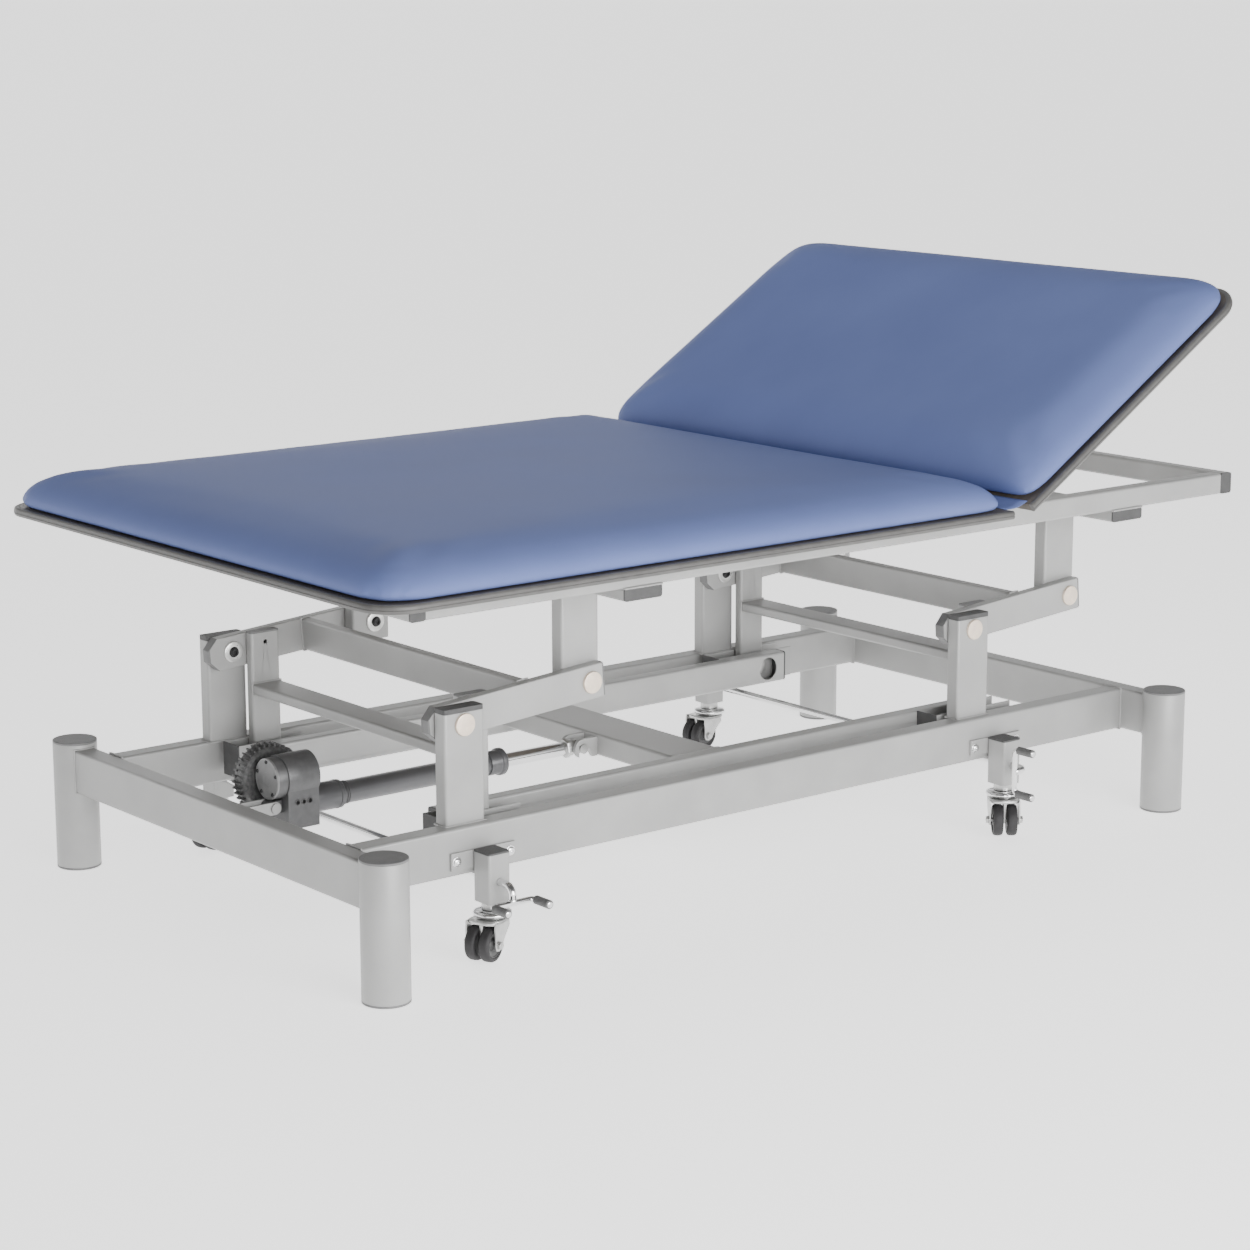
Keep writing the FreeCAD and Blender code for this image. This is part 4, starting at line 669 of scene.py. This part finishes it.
def build_pedal(end):
    """A cranked shaft across the table with a chrome bar at its near end, and the bar's rubber sleeves."""
    pivot = joint_place(end + "_pedal_turn")
    x, y, z = pivot.x, PEDAL_Y, pivot.z
    if end == "foot":
        foot = Vector((x, y, z - CRANK))
        way = Vector((1, 0, 0))
    else:
        foot = Vector((x - CRANK, y, z))
        way = Vector((0, 0, 1))
    elbow = Vector((x, y, z))
    metal = bmesh.new()
    add_tube(metal, bent_path([(x, SHAFT_END_Y, z), elbow, foot + (foot - elbow) * 0.04], 0.016, 10),
             SHAFT_RADIUS, 24)
    tip = Vector((0, -TIP_REACH, 0))
    a, b = foot - way * HALF_BAR, foot + way * HALF_BAR
    add_tube(metal, bent_path([a + tip, a, b, b + tip], 0.009, 8), BAR_RADIUS, 20)
    for p in (a + tip, b + tip):
        add_turned(metal, [(0, -0.0006), (0.0052, -0.0006), (0.0054, 0.0), (0.0046, 0.0008), (0, 0.0009)], p,
                   (0, -1, 0), 24)
    bmesh.ops.create_uvsphere(metal, u_segments=18, v_segments=10, radius=0.0078,
                              matrix=Matrix.Translation(foot - (foot - elbow) * 0.12))
    pedal = from_bmesh(end + "_pedal_bar", metal, CHROME, end + "_pedal_body", 50)
    rubber = bmesh.new()
    for p in (a, b):
        add_turned(rubber, [(0.0052, 0.0), (0.0066, 0.0), (0.0075, 0.001), (0.0075, 0.0366), (0.0066, 0.0376),
                            (0.0052, 0.0376)], p + Vector((0, -0.008, 0)), (0, -1, 0), 28)
    sleeves = from_bmesh(end + "_pedal_sleeves", rubber, SLEEVE, end + "_pedal_body")
    for part in (pedal, sleeves):
        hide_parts(end + "_pedal")


for pedal_end in ("foot", "head"):
    build_pedal(pedal_end)

# Casters

HEADING = {("foot", "near"): 205.0, ("foot", "far"): 200.0, ("head", "near"): 231.0, ("head", "far"): 185.0}
TRAIL = 0.030
AXLE_Z = 0.036


def build_caster(end, side):
    """A swivel disc and pressed fork, and two tyres with their hubs and axle; u leads to the wheels."""
    name = side + "_" + end
    pivot = joint_place(name + "_swivel")
    angle = math.radians(HEADING[(end, side)])
    turn = Matrix.Rotation(angle, 3, "Z")
    base = Vector((pivot.x, pivot.y, 0))

    def at(u, v, w):
        return base + turn @ Vector((u, v, w))

    fork = bmesh.new()
    add_turned(fork, [(0.0, 0.0872), (0.012, 0.0872), (0.022, 0.0866), (0.0285, 0.0856), (0.0318, 0.0838),
                      (0.0329, 0.0812), (0.0322, 0.0788), (0.030, 0.0768), (0.0265, 0.0756), (0.0215, 0.0750),
                      (0.0212, 0.0742), (0.0, 0.0742)], base, (0, 0, 1), 64)
    chrome = from_bmesh(name + "_swivel_disc", fork, CHROME, name + "_fork_body", 40)

    pressed = bmesh.new()
    top, under = 0.0742, 0.0690
    outer, cheek = 0.0288, 0.003
    roof = [(-0.021, -0.016), (-0.014, -outer + 0.004), (-0.004, -outer), (0.030, -outer), (0.038, -outer + 0.006),
            (0.042, -0.012), (0.042, 0.012), (0.038, outer - 0.006), (0.030, outer), (-0.004, outer),
            (-0.014, outer - 0.004), (-0.021, 0.016)]
    add_prism(pressed, roof, under, top, at, 0.0012)
    for low in (-outer, outer - cheek):
        arm = [(-0.006, 0.0735), (-0.008, 0.062), (0.010, 0.046), (0.0185, 0.033), (0.0225, 0.0275),
               (0.030, 0.0255), (0.0375, 0.0275), (0.0405, 0.034), (0.0405, 0.050), (0.041, 0.062), (0.040, 0.0735)]
        add_prism(pressed, arm, low, low + cheek, lambda u, w, v: at(u, v, w), 0.0007)
    middle = [(0.012, 0.0735), (0.018, 0.045), (0.024, 0.030), (0.036, 0.030), (0.0395, 0.045), (0.040, 0.0735)]
    add_prism(pressed, middle, -0.0029, 0.0029, lambda u, w, v: at(u, v, w), 0.0007)
    bracket = from_bmesh(name + "_fork", pressed, STEEL, name + "_fork_body", 40)
    for part in (chrome, bracket):
        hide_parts(name + "_caster_fork")

    axis = turn @ Vector((0, 1, 0))
    hub_at = at(TRAIL, 0, AXLE_Z)
    tyres, hubs, nuts = bmesh.new(), bmesh.new(), bmesh.new()
    for sign in (-1, 1):
        start = hub_at + axis * 0.0036 * sign
        add_turned(tyres, [(0.0215, 0.0004), (0.0265, 0.0004), (0.0283, 0.0014), (0.0296, 0.0038), (0.0300, 0.0072),
                           (0.0300, 0.0115), (0.0296, 0.0150), (0.0283, 0.0175), (0.0262, 0.0187), (0.0232, 0.0188),
                           (0.0225, 0.0182), (0.0215, 0.0172)], start, axis * sign, 72)
        add_turned(hubs, [(0.0042, 0.0006), (0.0217, 0.0006), (0.0217, 0.0174), (0.0205, 0.0176), (0.0195, 0.0160),
                          (0.0120, 0.0138), (0.0105, 0.0158), (0.0098, 0.0180), (0.0042, 0.0182)], start,
                   axis * sign, 56)
        end_spot = hub_at + axis * 0.0290 * sign
        turned = frame_from(axis * sign)
        add_turned(nuts, [(0.0, 0.0), (0.0078, 0.0), (0.0078, 0.0008), (0.0, 0.0008)], end_spot, axis * sign, 30)
        add_prism(nuts, hexagon(0.0072), 0.0008, 0.0052,
                  lambda u, v, w, s=end_spot, t=turned: s + t @ Vector((u, v, w)), 0.0006)
        add_turned(nuts, [(0.0038, 0.005), (0.0038, 0.0056), (0.003, 0.0059), (0.0, 0.0059)], end_spot,
                   axis * sign, 20)
    add_tube(nuts, [hub_at - axis * 0.03, hub_at, hub_at + axis * 0.03], 0.0038, 20)
    for kind, mesh, material, finish in (("tyres", tyres, RUBBER, "wheel_rubber"),
                                         ("hubs", hubs, HUB, "wheel_rubber"), ("axle", nuts, STEEL, "chrome")):
        part = from_bmesh(name + "_" + kind, mesh, material, name + "_wheel_body", 40)
        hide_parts(name + "_caster_wheels")


for caster_end, caster_side in HEADING:
    build_caster(caster_end, caster_side)

# Welds

BASE_X = -0.0345
LEG_X, LEG_Y = 0.910, 0.4935
LEG_RADIUS = 0.040
ARM_TILT = math.radians(4.5)
PUSH_REACH = 0.486
BEAD_STEP = 0.004


def add_bead(mesh, path, radius=0.0021):
    """A slightly uneven weld along a path of points."""
    points = []
    for a, b in zip(path, path[1:]):
        a, b = Vector(a), Vector(b)
        count = max(1, round((b - a).length / BEAD_STEP))
        points += [a.lerp(b, k / count) for k in range(count)]
    points.append(Vector(path[-1]))
    radii = [radius * (0.9 + 0.35 * noise.noise(p * 180)) for p in points]
    add_tube(mesh, points, radius, 8, radii)


def around(centre, u, v):
    """A closed rectangle round a centre, with half sides u and v."""
    centre, u, v = Vector(centre), Vector(u), Vector(v)
    return [centre + u * a + v * b for a, b in ((-1, -1), (1, -1), (1, 1), (-1, 1), (-1, -1))]


def build_welds():
    """The weld beads round posts, rails, end tubes, cross tubes and the push tube."""
    lift, head = joint_place("lift"), joint_place("head_arm_swing")
    upper, lower = joint_place("top_frame_pivot"), joint_place("push_frame_pivot")
    span = head.x - lift.x
    tilt = Matrix.Rotation(-ARM_TILT, 3, "Y")
    welds = {name: bmesh.new() for name in ("base", "foot_arm_frame", "head_arm_frame", "push_frame", "top_frame")}
    legs = [BASE_X - LEG_X, BASE_X + LEG_X]
    for side in (-1, 1):
        for x in (lift.x, head.x):
            add_bead(welds["base"], around((x, 0.367 * side, 0.225), (0.0405, 0, 0), (0, 0.0155, 0)))
        for x, way in zip(legs, (1, -1)):
            face = x + 0.02 * way
            add_bead(welds["base"], around((face, 0.380 * side, 0.185), (0, 0.0205, 0), (0, 0, 0.0405)))
            steps = [0.0205 * math.sin(math.radians(-90 + 15 * k)) for k in range(13)]
            rim = [(x + step, (LEG_Y - math.sqrt(LEG_RADIUS ** 2 - step ** 2)) * side) for step in steps]
            path = [(*rim[0], 0.145)] + [(px, py, 0.2255) for px, py in rim] + [(*rim[-1], 0.145)]
            path += [(px, py, 0.1445) for px, py in reversed(rim)]
            add_bead(welds["base"], path)
        for end, x in (("foot", 0.0), ("head", span)):
            cross = Vector((lift.x + x, 0, lift.z)) + tilt @ Vector((0.160, 0, 0))
            add_bead(welds[end + "_arm_frame"],
                     around(cross + Vector((0, 0.3305 * side, 0)), tilt @ Vector((0.0105, 0, 0)),
                            tilt @ Vector((0, 0, 0.0305))))
            low = Vector((lower.x + x, 0.3105 * side, lift.z - 0.0705))
            add_bead(welds[end + "_arm_frame"], around(low, (0.0300, 0, 0), (0, 0, 0.0105)))
            post = Vector((upper.x - 0.008 + x, 0.315 * side, 0.583))
            add_bead(welds["top_frame"], around(post, (0.0398, 0, 0), (0, 0.0155, 0)))
            add_bead(welds["top_frame"], around((post.x, 0.485 * side, 0.605), (0.0398, 0, 0), (0, 0.0150, 0)))
        tube = lower.x + PUSH_REACH + 0.055
        add_bead(welds["push_frame"], around((tube, 0.2585 * side, 0.205), (0.0545, 0, 0), (0, 0, 0.0205)))
    for name, mesh in welds.items():
        from_bmesh("welds_" + name, mesh, COAT, name, 60)


build_welds()

# Drive details

PUSH_FACE = joint_place("push_frame_pivot").x + PUSH_REACH
DRIVE_Y = -0.020


def build_drive_details():
    """The motor's face plate and screws, the sockets' rings, the tube's bands and the rod's lock nut."""
    axis_x = joint_place("actuator_tilt").x
    y, z = DRIVE_Y, joint_place("actuator_tilt").z
    motor = Vector((axis_x - 0.002, y, z + 0.049))
    back = Vector((-1, 0, 0))
    plate = bmesh.new()
    add_turned(plate, [(0.0, 0.0), (0.036, 0.0), (0.036, 0.0028), (0.0352, 0.0038), (0.0330, 0.0042),
                       (0.0322, 0.0036), (0.0120, 0.0036), (0.0112, 0.0030), (0.0, 0.0030)], motor, back, 72)
    face = from_bmesh("motor_face_plate", plate, MOTOR_FACE, "actuator_body", 30)
    screws = bmesh.new()
    for k in range(5):
        a = math.radians(90 + 72 * k)
        spot = motor + Vector((-0.0034, 0.030 * math.cos(a), 0.030 * math.sin(a)))
        add_turned(screws, [(0.0, 0.0), (0.0034, 0.0), (0.0034, 0.0012), (0.0028, 0.0021), (0.0013, 0.0024),
                            (0.0011, 0.0012), (0.0, 0.0012)], spot, back, 20)
    heads = from_bmesh("motor_face_screws", screws, BLACK_SCREW, "actuator_body", 40)
    for part in (face, heads):
        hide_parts("motor_end_plate")
    rings = bmesh.new()
    for k in range(3):
        spot = Vector((axis_x + 0.016 + 0.0124 * (k + 1.5), y - 0.033, z + 0.008))
        add_turned(rings, [(0.0036, -0.004), (0.0036, 0.0006), (0.0044, 0.0011), (0.0054, 0.0008), (0.0056, 0.0),
                           (0.0040, -0.0001)], spot, (0, -1, 0), 28)
    from_bmesh("socket_rings", rings, CAP, "actuator_body", 40)
    bands = bmesh.new()
    for at, radius in ((0.082, 0.0256), (0.131, 0.0256), (0.146, 0.0208), (0.150, 0.0208)):
        add_turned(bands, [(radius - 0.0012, 0.0), (radius, 0.0004), (radius, 0.0020), (radius - 0.0012, 0.0024)],
                   Vector((axis_x + at, y, z)), (1, 0, 0), 56)
    from_bmesh("outer_tube_bands", bands, DRIVE, "actuator_body", 40)
    nut = bmesh.new()
    seat = Vector((PUSH_FACE - 0.0605, y, z))
    turned = frame_from((1, 0, 0))
    add_prism(nut, hexagon(0.0176, 30), 0.0, 0.011, lambda u, v, w: seat + turned @ Vector((u, v, w)), 0.0012)
    from_bmesh("rod_lock_nut", nut, STEEL, "actuator_piston", 40)


build_drive_details()

# Camera, light and floor

scene = bpy.context.scene
CAMERA_AT = Vector((-3.5645, -4.358, 1.5936))
YAW, PITCH, ROLL = math.radians(38.79), math.radians(11.96), math.radians(-0.14)
FOCAL_SHARE = 3085 / 1250
SENSOR = 36.0
FLOOR_HALF = 400
ahead = Vector((math.sin(YAW) * math.cos(PITCH), math.cos(YAW) * math.cos(PITCH), -math.sin(PITCH)))
right = Vector((math.cos(YAW), -math.sin(YAW), 0))
up = right.cross(ahead)
right, up = right * math.cos(ROLL) + up * math.sin(ROLL), up * math.cos(ROLL) - right * math.sin(ROLL)
lens = bpy.data.cameras.new("photo_camera")
lens.sensor_width = SENSOR
lens.lens = SENSOR * FOCAL_SHARE
lens.clip_start = 0.05
lens.clip_end = 2.25 * FLOOR_HALF
camera = bpy.data.objects.new("photo_camera", lens)
camera.matrix_world = Matrix.Translation(CAMERA_AT) @ Matrix((right, up, -ahead)).transposed().to_4x4()
scene.collection.objects.link(camera)
scene.camera = camera

# Bright low down towards the near and far sides, dim overhead and towards both ends
world = bpy.data.worlds.new("studio")
world.use_nodes = True
sky_nodes, sky_links = world.node_tree.nodes, world.node_tree.links
sky = sky_nodes["Background"]
sky.inputs["Color"].default_value = (1.0, 1.0, 1.0, 1)
direction = sky_nodes.new("ShaderNodeTexCoord")
facing = sky_nodes.new("ShaderNodeVectorMath")
facing.operation = "DOT_PRODUCT"
facing.inputs[1].default_value = (0.05, -0.998, 0.0)
both = sky_nodes.new("ShaderNodeMath")
both.operation = "ABSOLUTE"
bright = sky_nodes.new("ShaderNodeMapRange")
bright.inputs["To Min"].default_value = 0.14
bright.inputs["To Max"].default_value = 4.6
parts = sky_nodes.new("ShaderNodeSeparateXYZ")
level = sky_nodes.new("ShaderNodeMath")
level.operation = "SUBTRACT"
level.inputs[0].default_value = 1.0
low_down = sky_nodes.new("ShaderNodeMath")
low_down.operation = "POWER"
low_down.inputs[1].default_value = 3.5
share = sky_nodes.new("ShaderNodeMath")
share.operation = "MULTIPLY"
sky_links.new(direction.outputs["Generated"], parts.inputs["Vector"])
sky_links.new(parts.outputs["Z"], level.inputs[1])
sky_links.new(level.outputs["Value"], low_down.inputs[0])
sky_links.new(low_down.outputs["Value"], share.inputs[0])
sky_links.new(both.outputs["Value"], share.inputs[1])
sky_links.new(share.outputs["Value"], bright.inputs["Value"])
sky_links.new(direction.outputs["Generated"], facing.inputs[0])
sky_links.new(facing.outputs["Value"], both.inputs[0])
sky_links.new(bright.outputs["Result"], sky.inputs["Strength"])
scene.world = world


def soft_light(name, at, target, size, power):
    """A rectangular studio light that faces its target."""
    lamp = bpy.data.lights.new(name, "AREA")
    lamp.shape = "RECTANGLE"
    lamp.size, lamp.size_y = size
    lamp.energy = power
    thing = bpy.data.objects.new(name, lamp)
    thing.location = at
    thing.rotation_euler = (Vector(target) - Vector(at)).to_track_quat("-Z", "Y").to_euler()
    scene.collection.objects.link(thing)


soft_light("front_light", (-0.6, -4.6, 1.3), (0.1, 0, 0.4), (3.4, 1.8), 215)
soft_light("foot_light", (-4.4, -1.6, 1.7), (-0.6, -0.2, 0.4), (2.2, 1.6), 5)
soft_light("top_light", (0.2, 0.4, 3.4), (0.0, 0, 0.6), (3.0, 2.4), 30)

floor_data = bpy.data.meshes.new("floor")
corners = [(x * FLOOR_HALF, y * FLOOR_HALF, 0) for x, y in ((-1, -1), (1, -1), (1, 1), (-1, 1))]
floor_data.from_pydata(corners, [], [(0, 1, 2, 3)])
floor = bpy.data.objects.new("floor", floor_data)
floor.location.z = -0.0002
scene.collection.objects.link(floor)
floor_finish = surface("pale_floor", (0.93, 0.93, 0.93), (0.92, 0.92, 0.92), 0.8, grain=2, bump=0.0, specular=0.1)
floor_shader = floor_finish.node_tree.nodes["Principled BSDF"]
floor_shader.inputs["Emission Color"].default_value = (1.0, 1.0, 1.0, 1)
floor_shader.inputs["Emission Strength"].default_value = 1.5
floor.data.materials.append(floor_finish)

for node_name in NODES:
    dress(node_name)
